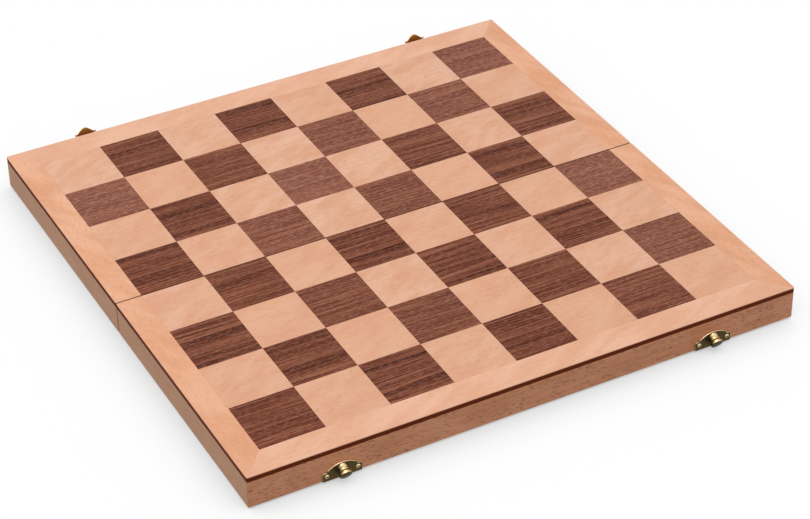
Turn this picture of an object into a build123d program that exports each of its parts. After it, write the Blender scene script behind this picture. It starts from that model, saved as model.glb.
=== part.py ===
from build123d import *

import os
from math import cos, hypot, radians, sin, tan

# A folding chess box laid open flat: two shallow wooden trays, open side down, hinged at a seam.
# +X runs along the seam, -Y towards the half with the knobs (the base), +Y towards the half with
# the hasps (the lid), +Z up. The origin is under the middle of the seam, at the lowest line of
# the hinge barrels. All lengths are in millimetres and all angles in degrees.

# ---- Playing surface and box ----
square = 45.0
squares_per_side = 8
border_side = 18.2
border_end = 20.4
seam_gap = 0.6
corner_radius = 1.0
wall_height = 19.9
wall_thickness = 8.0
panel_thickness = 3.2
veneer_thickness = 0.6
veneer_joint = 0.05
lining_thickness = 0.8
lining_margin = 0.3

# ---- Seam hinges ----
hinge_position = 110.0
hinge_length = 28.0
leaf_width = 7.2
leaf_thickness = 0.9
leaf_clearance = 0.1
knuckle_radius = 1.3
knuckle_gap = 0.3
hinge_drop = 0.15
hinge_pin_radius = 0.6
hinge_screw_spacing = 17.0
hinge_screw_inset = 4.4

# ---- Half-moon latch plates ----
latch_position = 135.0
plate_width = 27.2
plate_height = 11.6
plate_thickness = 0.9
ear_width = 3.2
ear_height = 6.5
ear_radius = 1.2
arc_foot = 7.8
bead_width = 0.8
bead_height = 0.35
latch_screw_spacing = 21.2
latch_screw_height = 3.8

# ---- Turned knobs, leaning towards the rim ----
knob_height = 7.0
knob_lean = 25.0
neck_radius = 3.1
neck_length = 1.9
ring_radius = 3.6
ring_length = 0.9
head_radius = 4.2
head_length = 1.7
flare_length = 0.5
dome_height = 0.7
rivet_radius = 1.2

# ---- Hasps, swung up from the closed position by the rest angle ----
hasp_rest_angle = 162.0
hasp_axis_out = 2.0
hasp_axis_height = 1.9
barrel_radius = 1.3
barrel_length = 15.0
hasp_knuckle = 6.6
hasp_pin_radius = 0.5
hasp_thickness = 0.8
hasp_length = 22.9
hasp_root_width = 11.6
hasp_waist_width = 10.4
hasp_shoulder_width = 12.8
hole_clearance = 0.4
hole_rim_width = 2.1
hole_bead_width = 0.8
tip_height = 4.3
tip_fullness = 0.55
shoulder_bead_radius = 0.8

# ---- Screws ----
screw_shank_radius = 0.8
screw_tip_length = 2.0
screw_tip_radius = 0.15
screw_slot_width = 0.45
screw_slot_depth = 0.4
screw_slot_turn = 45.0
countersink_angle = 90.0
hinge_screw_head_radius = 1.5
hinge_screw_length = 9.0
latch_screw_head_radius = 1.7
latch_screw_head_height = 0.9
latch_screw_edge_height = 0.3
latch_screw_length = 6.4

# ---- Fits ----
pin_clearance = 0.05
screw_clearance = 0.05
screw_end_clearance = 0.4

# ---- Derived levels and outlines ----
hinge_axis_height = knuckle_radius
rim = hinge_axis_height + hinge_drop
panel_bottom = rim + wall_height
panel_top = panel_bottom + panel_thickness
box_length = squares_per_side * square + 2 * border_side
half_rows = squares_per_side // 2
half_depth = half_rows * square + border_end
inner_face = seam_gap / 2
outer_face = inner_face + half_depth
half_middle = (inner_face + outer_face) / 2
closed_rim_gap = 2 * hinge_drop
knuckle_third = (hinge_length - 2 * knuckle_gap) / 3
head_start = neck_length + ring_length + flare_length
head_end = head_start + head_length

# Direction of each half from the seam along Y, and of each end from the middle along X.
signs = {"base": -1, "lid": 1}
ends = {"left": -1, "right": 1}

# The colour of a square repeats with the sum of its column and row, counted from the left corner
# of the base's outer wall, where a dark square lies.
parities = {"dark": 0, "light": 1}


def half_plane(side, height):
    """Horizontal plane at a height, with +y pointing from the seam to the half's outer wall."""
    return Plane(origin=(0, 0, height), x_dir=(signs[side], 0, 0), z_dir=(0, 0, 1))


def latch_plane(side, end, out):
    """Plane on a half's outer face at one latch: +y up from the rim, +z outwards."""
    sign = signs[side]
    return Plane(
        origin=(ends[end] * latch_position, sign * (outer_face + out), rim),
        x_dir=(-sign, 0, 0),
        z_dir=(0, sign, 0),
    )


def save(part, name):
    """Label a finished piece and write it to its own STEP file."""
    part.label = name
    export_step(part, f"parts/{name}.step")


def frame_strip(edge, side_width, outer_width, seam_width):
    """Corners of one mitred strip of a half's frame, in the half's plane."""
    outline = {
        "outer_left": (-box_length / 2, outer_face),
        "outer_right": (box_length / 2, outer_face),
        "seam_right": (box_length / 2, inner_face),
        "seam_left": (-box_length / 2, inner_face),
    }
    inset = {
        "outer_left": (side_width, -outer_width),
        "outer_right": (-side_width, -outer_width),
        "seam_right": (-side_width, seam_width),
        "seam_left": (side_width, seam_width),
    }
    corners = {
        "outer": ("outer_left", "outer_right"),
        "right": ("outer_right", "seam_right"),
        "seam": ("seam_right", "seam_left"),
        "left": ("seam_left", "outer_left"),
    }
    first, last = corners[edge]
    inner = [
        (outline[corner][0] + inset[corner][0], outline[corner][1] + inset[corner][1])
        for corner in (last, first)
    ]
    return [outline[first], outline[last], *inner]


def edge_in_half(side, edge):
    """Name of an edge in the half's own plane, which is turned end for end on the base."""
    swapped = {"left": "right", "right": "left"}
    return swapped.get(edge, edge) if side == "base" else edge


def latch_screw_seats(side, end, out):
    """Planes of one latch plate's two screws, facing outwards, at a distance from the wall."""
    plane = latch_plane(side, end, out)
    return [
        plane.shift_origin(plane.from_local_coords((across, latch_screw_height, 0)))
        for across in (-latch_screw_spacing / 2, latch_screw_spacing / 2)
    ]


def hinge_screw_seats(side, end):
    """Planes of one leaf's two screws, facing down from the rim."""
    centre = ends[end] * hinge_position
    return [
        Plane(
            origin=(centre + along, signs[side] * hinge_screw_inset, rim),
            x_dir=(1, 0, 0),
            z_dir=(0, 0, -1),
        )
        for along in (-hinge_screw_spacing / 2, hinge_screw_spacing / 2)
    ]


# ---- Wooden frame of a half ----
def tray_wall(side, edge):
    """One mitred wall, with its screw holes and, at the seam, the recesses for the hinges."""
    with BuildPart() as piece:
        with BuildSketch(half_plane(side, rim)):
            strip = frame_strip(edge_in_half(side, edge), wall_thickness, wall_thickness, wall_thickness)
            Polygon(*strip, align=None)
            with Locations((0, half_middle)):
                RectangleRounded(box_length, half_depth, corner_radius, mode=Mode.INTERSECT)
        extrude(amount=wall_height)
        if edge == "outer":
            seats = [seat for end in ends for seat in latch_screw_seats(side, end, 0)]
            with Locations(*seats):
                Hole(
                    radius=screw_shank_radius + screw_clearance,
                    depth=latch_screw_length - plate_thickness + screw_end_clearance,
                )
        if edge == "seam":
            hinge_spots = [(-hinge_position, 0), (hinge_position, 0)]
            with BuildSketch(half_plane(side, rim)):
                with Locations(*hinge_spots):
                    Rectangle(
                        hinge_length + 2 * leaf_clearance,
                        leaf_width + leaf_clearance,
                        align=(Align.CENTER, Align.MIN),
                    )
            extrude(amount=leaf_thickness, mode=Mode.SUBTRACT)
            with BuildSketch(half_plane(side, rim)):
                with Locations(*hinge_spots):
                    Rectangle(
                        hinge_length + 2 * leaf_clearance,
                        knuckle_radius + knuckle_gap,
                        align=(Align.CENTER, Align.MIN),
                    )
            extrude(
                amount=hinge_axis_height + knuckle_radius + knuckle_gap - rim, mode=Mode.SUBTRACT
            )
            seats = [seat for end in ends for seat in hinge_screw_seats(side, end)]
            with Locations(*seats):
                Hole(
                    radius=screw_shank_radius + screw_clearance,
                    depth=hinge_screw_length + screw_end_clearance,
                )
    return piece.part


def tray_panel(side):
    """The panel that closes the tray and carries the veneers."""
    with BuildPart() as panel:
        with BuildSketch(half_plane(side, panel_bottom)):
            with Locations((0, half_middle)):
                RectangleRounded(box_length, half_depth, corner_radius)
        extrude(amount=panel_thickness)
    return panel.part


def tray_lining(side):
    """The felt glued to the panel's inner face between the walls."""
    inset = wall_thickness + lining_margin
    with BuildPart() as lining:
        with BuildSketch(half_plane(side, panel_bottom)):
            with Locations((0, half_middle)):
                Rectangle(box_length - 2 * inset, half_depth - 2 * inset)
        extrude(amount=-lining_thickness)
    return lining.part


def border_strip(side, edge):
    """One mitred strip of the light veneer border."""
    with BuildPart() as strip:
        with BuildSketch(half_plane(side, panel_top)):
            Polygon(*frame_strip(edge_in_half(side, edge), border_side, border_end, 0), align=None)
            with Locations((0, half_middle)):
                RectangleRounded(box_length, half_depth, corner_radius, mode=Mode.INTERSECT)
        extrude(amount=veneer_thickness)
    return strip.part


def veneer_squares(side, colour):
    """The squares of one colour on one half."""
    centres = [
        (
            (column - (squares_per_side - 1) / 2) * square,
            inner_face + (row + 0.5) * square,
        )
        for column in range(squares_per_side)
        for row in range(half_rows)
        if (column + half_rows + row) % 2 == parities[colour]
    ]
    with BuildPart() as tiles:
        with BuildSketch(half_plane(side, panel_top)):
            with Locations(*centres):
                Rectangle(square - veneer_joint, square - veneer_joint)
        extrude(amount=veneer_thickness)
    return tiles.part


# ---- Screws ----
def wood_screws(seats, head_radius, head_height, edge_height, length):
    """Cross-head wood screws, countersunk when the head has no height above its seat."""
    cone_depth = (head_radius - screw_shank_radius) / tan(radians(countersink_angle / 2))
    with BuildPart() as screws:
        for seat in seats:
            with BuildSketch(Plane(seat.origin, x_dir=seat.x_dir, z_dir=-seat.y_dir)):
                with BuildLine():
                    Line((0, -length), (screw_tip_radius, -length))
                    Line((screw_tip_radius, -length), (screw_shank_radius, screw_tip_length - length))
                    if head_height:
                        Polyline(
                            (screw_shank_radius, screw_tip_length - length),
                            (screw_shank_radius, 0),
                            (head_radius, 0),
                            (head_radius, edge_height),
                        )
                        RadiusArc(
                            (head_radius, edge_height),
                            (0, head_height),
                            -dome_radius(head_radius, head_height - edge_height),
                        )
                    else:
                        Polyline(
                            (screw_shank_radius, screw_tip_length - length),
                            (screw_shank_radius, -cone_depth),
                            (head_radius, 0),
                            (0, 0),
                        )
                    Line((0, head_height), (0, -length))
                make_face()
            revolve(axis=Axis(seat.origin, seat.z_dir))
            with BuildSketch(seat.offset(head_height)):
                for angle in (screw_slot_turn, screw_slot_turn + 90):
                    Rectangle(2 * head_radius, screw_slot_width, rotation=angle)
            extrude(amount=-screw_slot_depth, mode=Mode.SUBTRACT)
    return screws.part


def dome_radius(half_width, height):
    """Radius of the arc over a half width that rises by a height to the middle."""
    return (half_width**2 + height**2) / (2 * height)


# ---- Seam hinges ----
def knuckle_spans(side):
    """Start and end of a leaf's knuckles from the hinge's middle: one on the lid, two on the base."""
    if side == "lid":
        return [(-knuckle_third / 2, knuckle_third / 2)]
    return [
        (-hinge_length / 2, -knuckle_third / 2 - knuckle_gap),
        (knuckle_third / 2 + knuckle_gap, hinge_length / 2),
    ]


def hinge_leaf(side, end):
    """One leaf of a butt hinge, let into the rim, with its knuckles and countersunk holes."""
    centre = ends[end] * hinge_position
    other = "base" if side == "lid" else "lid"
    with BuildPart() as leaf:
        with BuildSketch(half_plane(side, rim)):
            with Locations((signs[side] * centre, 0)):
                Rectangle(hinge_length, leaf_width, align=(Align.CENTER, Align.MIN))
        extrude(amount=leaf_thickness)
        with BuildSketch(half_plane(side, rim)):
            for start, stop in knuckle_spans(other):
                with Locations((signs[side] * (centre + (start + stop) / 2), 0)):
                    Rectangle(
                        stop - start + 2 * knuckle_gap,
                        knuckle_radius + knuckle_gap,
                        align=(Align.CENTER, Align.MIN),
                    )
        extrude(amount=leaf_thickness, mode=Mode.SUBTRACT)
        for start, stop in knuckle_spans(side):
            with BuildSketch(Plane.YZ.offset(centre + start)):
                with Locations((0, hinge_axis_height)):
                    Circle(knuckle_radius)
            extrude(amount=stop - start)
        with BuildSketch(Plane.YZ.offset(centre - hinge_length / 2)):
            with Locations((0, hinge_axis_height)):
                Circle(hinge_pin_radius + pin_clearance)
        extrude(amount=hinge_length, mode=Mode.SUBTRACT)
        with Locations(*hinge_screw_seats(side, end)):
            CounterSinkHole(
                radius=screw_shank_radius + screw_clearance,
                counter_sink_radius=hinge_screw_head_radius + screw_clearance,
                depth=2 * leaf_thickness,
                counter_sink_angle=countersink_angle,
            )
    return leaf.part


def hinge_pin(end):
    """The pin through all three knuckles of a seam hinge."""
    with BuildPart() as pin:
        with BuildSketch(Plane.YZ.offset(ends[end] * hinge_position - hinge_length / 2)):
            with Locations((0, hinge_axis_height)):
                Circle(hinge_pin_radius)
        extrude(amount=hinge_length)
    return pin.part


# ---- Latch plates, knobs and hasps ----
def half_moon(plane):
    """A flat half-moon plate with an ear at each end and a raised bead along its arc."""
    foot = plate_width / 2 - ear_width
    arc_radius = dome_radius(foot, plate_height - arc_foot)
    with BuildPart() as moon:
        with BuildSketch(plane) as outline:
            Rectangle(plate_width, ear_height, align=(Align.CENTER, Align.MIN))
            fillet(outline.vertices().group_by(Axis.Y)[-1], radius=ear_radius)
            with BuildLine():
                Polyline((-foot, arc_foot), (-foot, 0), (foot, 0), (foot, arc_foot))
                ThreePointArc((foot, arc_foot), (0, plate_height), (-foot, arc_foot))
            make_face()
        extrude(amount=plate_thickness)
        with BuildSketch(plane.offset(plate_thickness)):
            with Locations((0, plate_height - arc_radius)):
                Circle(arc_radius)
                Circle(arc_radius - bead_width, mode=Mode.SUBTRACT)
            with Locations((0, arc_foot)):
                Rectangle(2 * foot, plate_height, align=(Align.CENTER, Align.MIN), mode=Mode.INTERSECT)
        extrude(amount=bead_height)
    return moon.part


def knob_plate(end):
    """The plate under a knob, with its screw and rivet holes."""
    with BuildPart() as plate:
        add(half_moon(latch_plane("base", end, 0)))
        with Locations(*latch_screw_seats("base", end, plate_thickness)):
            Hole(radius=screw_shank_radius + screw_clearance, depth=2 * plate_thickness)
        with BuildSketch(latch_plane("base", end, 0)):
            with Locations((0, knob_height)):
                Circle(rivet_radius + screw_clearance)
        extrude(amount=plate_thickness, mode=Mode.SUBTRACT)
    return plate.part


def knob_point(along, radius):
    """Distance out and height above the rim of a point of the knob's outline in its mid plane."""
    lean = radians(knob_lean)
    return (
        plate_thickness + along * cos(lean) + radius * sin(lean),
        knob_height - along * sin(lean) + radius * cos(lean),
    )


def knob(end):
    """A turned knob: neck, ring and domed head on an axis that leans towards the rim."""
    lean = radians(knob_lean)
    face = latch_plane("base", end, plate_thickness)
    seat = face.from_local_coords((0, knob_height, 0))
    lean_dir = Vector(0, -cos(lean), -sin(lean))
    with BuildPart() as turned:
        with BuildSketch(Plane(seat, x_dir=(1, 0, 0), z_dir=(0, sin(lean), -cos(lean)))):
            with BuildLine():
                Polyline(
                    (0, -neck_radius),
                    (neck_radius, -neck_radius),
                    (neck_radius, neck_length),
                    (ring_radius, neck_length),
                    (ring_radius, neck_length + ring_length),
                    (neck_radius, neck_length + ring_length),
                    (head_radius, head_start),
                    (head_radius, head_end),
                )
                RadiusArc(
                    (head_radius, head_end),
                    (0, head_end + dome_height),
                    -dome_radius(head_radius, dome_height),
                )
                Line((0, head_end + dome_height), (0, -neck_radius))
            make_face()
        revolve(axis=Axis(seat, lean_dir))
        split(bisect_by=face, keep=Keep.TOP)
        with BuildSketch(latch_plane("base", end, 0)):
            with Locations((0, knob_height)):
                Circle(rivet_radius)
        extrude(amount=plate_thickness)
    return turned.part


def hasp_plate(end):
    """The plate that a hasp hangs on, with two knuckles and the gap for the hasp's own."""
    gap_width = hasp_knuckle + 2 * knuckle_gap
    with BuildPart() as plate:
        add(half_moon(latch_plane("lid", end, 0)))
        for start, stop in ((-barrel_length / 2, -gap_width / 2), (gap_width / 2, barrel_length / 2)):
            with BuildSketch(Plane.YZ.offset(ends[end] * latch_position + start)):
                with Locations((outer_face + hasp_axis_out, rim + hasp_axis_height)):
                    Circle(barrel_radius)
                with Locations((outer_face, rim + hasp_axis_height - barrel_radius)):
                    Rectangle(hasp_axis_out, barrel_radius, align=(Align.MIN, Align.MIN))
            extrude(amount=stop - start)
        with BuildSketch(latch_plane("lid", end, 0)):
            Rectangle(
                gap_width,
                hasp_axis_height + barrel_radius + knuckle_gap,
                align=(Align.CENTER, Align.MIN),
            )
        extrude(amount=plate_thickness, mode=Mode.SUBTRACT)
        with BuildSketch(Plane.YZ.offset(ends[end] * latch_position - barrel_length / 2)):
            with Locations((outer_face + hasp_axis_out, rim + hasp_axis_height)):
                Circle(hasp_pin_radius + pin_clearance)
        extrude(amount=barrel_length, mode=Mode.SUBTRACT)
        with Locations(*latch_screw_seats("lid", end, plate_thickness)):
            Hole(radius=screw_shank_radius + screw_clearance, depth=2 * plate_thickness)
    return plate.part


def hasp_pin(end):
    """The pin through a hasp plate's knuckles and the hasp's own."""
    with BuildPart() as pin:
        with BuildSketch(Plane.YZ.offset(ends[end] * latch_position - barrel_length / 2)):
            with Locations((outer_face + hasp_axis_out, rim + hasp_axis_height)):
                Circle(hasp_pin_radius)
        extrude(amount=barrel_length)
    return pin.part


def head_reach(radius):
    """Distances from the closed hasp's axis to the two ends of one side of the knob's head."""
    axis = (hasp_axis_out, -hasp_axis_height - closed_rim_gap)
    points = [knob_point(along, radius) for along in (head_start, head_end)]
    return [hypot(point[0] - axis[0], point[1] - axis[1]) for point in points]


# The hole lets the knob's whole head through as the hasp swings over it.
hole_near = min(head_reach(-head_radius)) - hole_clearance
hole_far = max(head_reach(head_radius)) + hole_clearance
hole_radius = max((hole_far - hole_near) / 2, head_radius + hole_clearance)
hole_centre = (hole_near + hole_far) / 2


def hasp(end):
    """A hasp: knuckle, waisted tongue with the knob's hole, and an ogee tip between two beads."""
    rest = radians(hasp_rest_angle)
    middle = Plane(
        origin=(ends[end] * latch_position, outer_face + hasp_axis_out, rim + hasp_axis_height),
        x_dir=(1, 0, 0),
        z_dir=(0, cos(rest), sin(rest)),
    )
    inner = middle.offset(-hasp_thickness / 2)
    root = barrel_radius + knuckle_gap
    shoulder = hasp_length - tip_height
    half_shoulder = hasp_shoulder_width / 2
    ring_edge = hole_centre + hole_radius + hole_rim_width
    waist = (ring_edge + shoulder) / 2
    with BuildPart() as tongue:
        with BuildSketch(inner):
            with BuildLine():
                Polyline((0, shoulder), (0, root), (hasp_root_width / 2, root))
                Spline(
                    (hasp_root_width / 2, root),
                    (hole_radius + hole_rim_width, hole_centre),
                    (hasp_waist_width / 2, waist),
                    (half_shoulder, shoulder),
                )
                Line((half_shoulder, shoulder), (0, shoulder))
            make_face()
            with BuildLine():
                Line((0, hasp_length), (0, shoulder))
                Line((0, shoulder), (half_shoulder, shoulder))
                Spline(
                    (half_shoulder, shoulder),
                    (half_shoulder / 2, shoulder + tip_fullness * tip_height),
                    (0, hasp_length),
                    tangents=((-1, 0), (-1, 0)),
                )
            make_face()
            mirror(about=Plane.YZ)
            Rectangle(hasp_knuckle, root, align=(Align.CENTER, Align.MIN))
            with Locations((0, hole_centre)):
                Circle(hole_radius, mode=Mode.SUBTRACT)
        extrude(amount=hasp_thickness)
        with BuildSketch(inner.offset(hasp_thickness)):
            with Locations((0, hole_centre)):
                Circle(hole_radius + hole_bead_width)
                Circle(hole_radius, mode=Mode.SUBTRACT)
        extrude(amount=bead_height)
        with BuildSketch(inner):
            with Locations((-half_shoulder, shoulder), (half_shoulder, shoulder)):
                Circle(shoulder_bead_radius)
        extrude(amount=hasp_thickness + bead_height)
        with BuildSketch(Plane.YZ.offset(ends[end] * latch_position - hasp_knuckle / 2)):
            with Locations((outer_face + hasp_axis_out, rim + hasp_axis_height)):
                Circle(barrel_radius)
        extrude(amount=hasp_knuckle)
        with BuildSketch(Plane.YZ.offset(ends[end] * latch_position - hasp_knuckle / 2)):
            with Locations((outer_face + hasp_axis_out, rim + hasp_axis_height)):
                Circle(hasp_pin_radius + pin_clearance)
        extrude(amount=hasp_knuckle, mode=Mode.SUBTRACT)
    return tongue.part


# ---- Build and write every piece ----
os.makedirs("parts", exist_ok=True)

for side in signs:
    for edge in ("outer", "seam", "left", "right"):
        save(tray_wall(side, edge), f"{side}_wall_{edge}")
    save(tray_panel(side), f"{side}_panel")
    save(tray_lining(side), f"{side}_lining")
    for edge in ("outer", "left", "right"):
        save(border_strip(side, edge), f"{side}_border_{edge}")
    for colour in parities:
        save(veneer_squares(side, colour), f"{side}_squares_{colour}")
    leaf_seats = [seat for end in ends for seat in hinge_screw_seats(side, end)]
    save(
        wood_screws(leaf_seats, hinge_screw_head_radius, 0, 0, hinge_screw_length),
        f"{side}_hinge_screws",
    )
    plate_seats = [seat for end in ends for seat in latch_screw_seats(side, end, plate_thickness)]
    save(
        wood_screws(
            plate_seats,
            latch_screw_head_radius,
            latch_screw_head_height,
            latch_screw_edge_height,
            latch_screw_length,
        ),
        f"{side}_latch_screws",
    )
    for end in ends:
        save(hinge_leaf(side, end), f"{side}_hinge_leaf_{end}")

for end in ends:
    save(hinge_pin(end), f"hinge_pin_{end}")
    save(knob_plate(end), f"knob_plate_{end}")
    save(knob(end), f"knob_{end}")
    save(hasp_plate(end), f"hasp_plate_{end}")
    save(hasp_pin(end), f"hasp_pin_{end}")
    save(hasp(end), f"hasp_{end}")
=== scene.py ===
"""A folding chess box, laid open flat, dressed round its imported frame.

Two shallow trays lie hollow side down and are hinged at the seam under the playing surface. +X
runs along the seam, -Y towards the base's knobs, +Y towards the lid's hasps and +Z up. Shapes are
drawn in millimetres and scaled to metres when they are handed to the frame.
"""

import logging
from abc import ABC, abstractmethod
from collections.abc import Callable, Iterator, Sequence
from dataclasses import dataclass
from enum import Enum
from functools import cache
from math import atan2, cos, degrees, pi, radians, sin, sqrt
from typing import Any

import bmesh
import bpy
from mathutils import Euler, Matrix, Vector, noise


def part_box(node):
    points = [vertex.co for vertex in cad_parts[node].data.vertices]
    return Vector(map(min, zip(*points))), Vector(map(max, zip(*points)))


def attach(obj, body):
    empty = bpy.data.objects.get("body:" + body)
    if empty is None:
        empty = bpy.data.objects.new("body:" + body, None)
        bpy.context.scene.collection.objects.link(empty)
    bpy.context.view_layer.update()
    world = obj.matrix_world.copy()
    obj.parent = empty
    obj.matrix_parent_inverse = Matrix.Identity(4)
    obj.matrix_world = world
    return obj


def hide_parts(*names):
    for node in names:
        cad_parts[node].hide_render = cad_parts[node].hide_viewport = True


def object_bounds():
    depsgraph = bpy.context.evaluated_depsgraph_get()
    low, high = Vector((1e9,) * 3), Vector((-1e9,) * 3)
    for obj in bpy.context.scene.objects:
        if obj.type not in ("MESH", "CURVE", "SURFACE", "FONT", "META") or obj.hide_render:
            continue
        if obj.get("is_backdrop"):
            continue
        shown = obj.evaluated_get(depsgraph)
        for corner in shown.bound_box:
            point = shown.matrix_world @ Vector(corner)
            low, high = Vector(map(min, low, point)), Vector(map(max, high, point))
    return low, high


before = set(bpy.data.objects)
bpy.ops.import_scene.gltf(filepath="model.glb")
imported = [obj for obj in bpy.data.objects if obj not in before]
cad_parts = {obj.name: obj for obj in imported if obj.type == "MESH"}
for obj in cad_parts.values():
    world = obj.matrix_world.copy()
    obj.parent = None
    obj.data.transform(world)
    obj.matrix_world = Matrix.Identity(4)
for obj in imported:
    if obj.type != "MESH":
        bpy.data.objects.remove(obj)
cad_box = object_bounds()

log = logging.getLogger("chess_box")

Point = tuple[float, float]
Range = tuple[float, float]
Lengths = tuple[float, float, float]
Colour = tuple[float, float, float, float]
Material = bpy.types.Material
Mesh = bpy.types.Mesh
Object = bpy.types.Object
Shape = bmesh.types.BMesh
Change = Callable[[Shape], None]
Pieces = Iterator[Object]

# One millimetre, in metres.
MM = 0.001
# How close two points are to be merged, in millimetres.
WELD = 1e-4
# How far a cutter stands past what it cuts, in millimetres.
OVERSHOOT = 1.0
# The angle from which an edge is a crease.
SMOOTH_ANGLE = radians(38)

# Runs in the roundings and sides of the turned parts, from the coarsest to the finest.
RIM_STEPS = 3
BRASS_RIM_STEPS = 4
ARC_STEPS = 8
CURVE_STEPS = 12
SMALL_TURNED_STEPS = 24
ROUND_STEPS = 32
TURNED_STEPS = 72

# Attributes of the veneer squares: each one's place in the wood, and its tone.
CUT, TONE = "cut", "tone"


# ---- Named choices ----


class Half(Enum):
    """One half of the box, with the direction from the seam to its outer wall."""

    BASE = ("base", -1)
    LID = ("lid", 1)

    @property
    def body(self) -> str:
        """Name of the half's body."""
        return self.value[0]

    @property
    def sign(self) -> int:
        """Direction of the half along Y."""
        return self.value[1]

    @property
    def other(self) -> "Half":
        """The half across the seam."""
        return Half.BASE if self is Half.LID else Half.LID

    @property
    def first_seed(self) -> int:
        """Seed of the half's dark squares and hinge screws; the next is for the others."""
        return 2 if self is Half.LID else 0


class End(Enum):
    """The left or right one of a pair of fittings."""

    LEFT = "left"
    RIGHT = "right"


class Grain(Enum):
    """The way the wood fibres run, as a turn about Z in degrees."""

    ALONG_X = 0
    ALONG_Y = 90


class Edge(Enum):
    """One edge of a half's rectangular plan."""

    OUTER = "outer"
    SEAM = "seam"
    LEFT = "left"
    RIGHT = "right"

    @property
    def grain(self) -> Grain:
        """Direction of the wood that lies along the edge."""
        return Grain.ALONG_X if self in (Edge.OUTER, Edge.SEAM) else Grain.ALONG_Y


class Shade(Enum):
    """Shade of a square, with the parity of its column and row in its half."""

    DARK = ("dark", 0)
    LIGHT = ("light", 1)


class Joining(Enum):
    """How two solids are joined."""

    UNITE = "UNION"
    CUT_AWAY = "DIFFERENCE"


class Slot(Enum):
    """The frame's material slots."""

    BEECH_WALL = "beech_wall"
    BORDER_VENEER = "border_veneer"
    LIGHT_VENEER = "light_veneer"
    DARK_VENEER = "dark_veneer"
    PANEL_EDGE = "panel_edge"
    FELT = "felt"
    ANTIQUE_BRASS = "antique_brass"
    HASP_BRASS = "hasp_brass"
    HINGE_BRASS = "hinge_brass"


@dataclass(frozen=True)
class Room:
    """The box that a node of the frame fills, in millimetres."""

    low: Vector
    high: Vector

    @classmethod
    def of(cls, node: str) -> "Room":
        """Read the room of a named node."""
        low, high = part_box(node)
        return cls(low / MM, high / MM)

    @property
    def size(self) -> Vector:
        """Extent along each axis."""
        return self.high - self.low

    @property
    def centre(self) -> Vector:
        """Middle of the room."""
        return (self.low + self.high) / 2


# ---- Node graphs ----


@dataclass(frozen=True)
class Term:
    """One value of a node graph, with arithmetic that adds the Math nodes it needs."""

    graph: "Graph"
    socket: bpy.types.NodeSocket

    def _math(self, operation: str, *operands: Any) -> "Term":
        """Add a Math node on the operands."""
        return self.graph.node("ShaderNodeMath", {"operation": operation}, dict(enumerate(operands)))

    def __add__(self, other: Any) -> "Term":
        """Sum with a term or a number on either side."""
        return self._math("ADD", self, other)

    __radd__ = __add__

    def __sub__(self, other: Any) -> "Term":
        """Difference."""
        return self._math("SUBTRACT", self, other)

    def __rsub__(self, other: Any) -> "Term":
        """Difference from a number on the left."""
        return self._math("SUBTRACT", other, self)

    def __mul__(self, other: Any) -> "Term":
        """Product with a term or a number on either side."""
        return self._math("MULTIPLY", self, other)

    __rmul__ = __mul__

    def __truediv__(self, other: Any) -> "Term":
        """Quotient."""
        return self._math("DIVIDE", self, other)

    def __gt__(self, other: Any) -> "Term":
        """One where this value is the greater, else zero."""
        return self._math("GREATER_THAN", self, other)

    def __pow__(self, exponent: float) -> "Term":
        """This value raised to an exponent."""
        return self._math("POWER", self, exponent)

    def __mod__(self, divisor: float) -> "Term":
        """Remainder after a division."""
        return self._math("MODULO", self, divisor)

    def __abs__(self) -> "Term":
        """This value without its sign."""
        return self._math("ABSOLUTE", self)

    def largest(self, other: Any) -> "Term":
        """The greater of this value and another."""
        return self._math("MAXIMUM", self, other)

    def floor(self) -> "Term":
        """The whole number below this value."""
        return self._math("FLOOR", self)

    def rounded(self) -> "Term":
        """This value rounded to a whole number."""
        return self._math("ROUND", self)

    def step(self, low: float, high: float) -> "Term":
        """Smooth rise from 0 to 1.

        Args:
            low: This value where the rise begins.
            high: This value where it ends.

        Returns:
            The risen value.
        """
        return self.graph.node(
            "ShaderNodeMapRange",
            {"interpolation_type": "SMOOTHSTEP"},
            {"Value": self, "From Min": low, "From Max": high},
        )

    def out(self, name: str) -> "Term":
        """Another output of the same node."""
        return Term(self.graph, self.socket.node.outputs[name])


class Graph:
    """A node tree that is built term by term."""

    def __init__(self, tree: bpy.types.NodeTree) -> None:
        """Start on a tree, which is cleared."""
        self.tree = tree
        self.tree.nodes.clear()

    def node(
        self,
        kind: str,
        settings: dict[str, Any] | None = None,
        sockets: dict[str | int, Any] | None = None,
        output: str | int = 0,
    ) -> Term:
        """Add one node.

        Args:
            kind: Type name of the node.
            settings: Its own settings; "stops" gives a ramp's positions and colours.
            sockets: A value or a term for each input named or numbered.
            output: The output that is returned.

        Returns:
            The term of that output, or of the first input of a node that has no outputs.
        """
        made = self.tree.nodes.new(kind)
        for name, value in (settings or {}).items():
            if name == "stops":
                self._set_stops(made.color_ramp.elements, value)
            else:
                setattr(made, name, value)
        for name, value in (sockets or {}).items():
            self._feed(made.inputs[name], value)
        return Term(self, made.outputs[output] if made.outputs else made.inputs[0])

    def _set_stops(
        self, ramp: bpy.types.ColorRampElements, stops: Sequence[tuple[float, Colour]]
    ) -> None:
        """Give a colour ramp its stops.

        Args:
            ramp: The ramp's elements.
            stops: Position and colour of each stop, from the lowest.
        """
        while len(ramp) < len(stops):
            ramp.new(1)
        for element, (position, colour) in zip(ramp, stops):
            element.position, element.color = position, colour

    def _feed(self, socket: bpy.types.NodeSocket, value: Any) -> None:
        """Link a term to an input, or set a plain value on it.

        Args:
            socket: The input.
            value: A term or a value.
        """
        if isinstance(value, Term):
            self.tree.links.new(value.socket, socket)
        else:
            socket.default_value = value


@dataclass(frozen=True)
class Cloud:
    """Soft noise, by the length of its patches along each axis."""

    lengths: Lengths
    detail: float = 1.0
    roughness: float = 0.5


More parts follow.
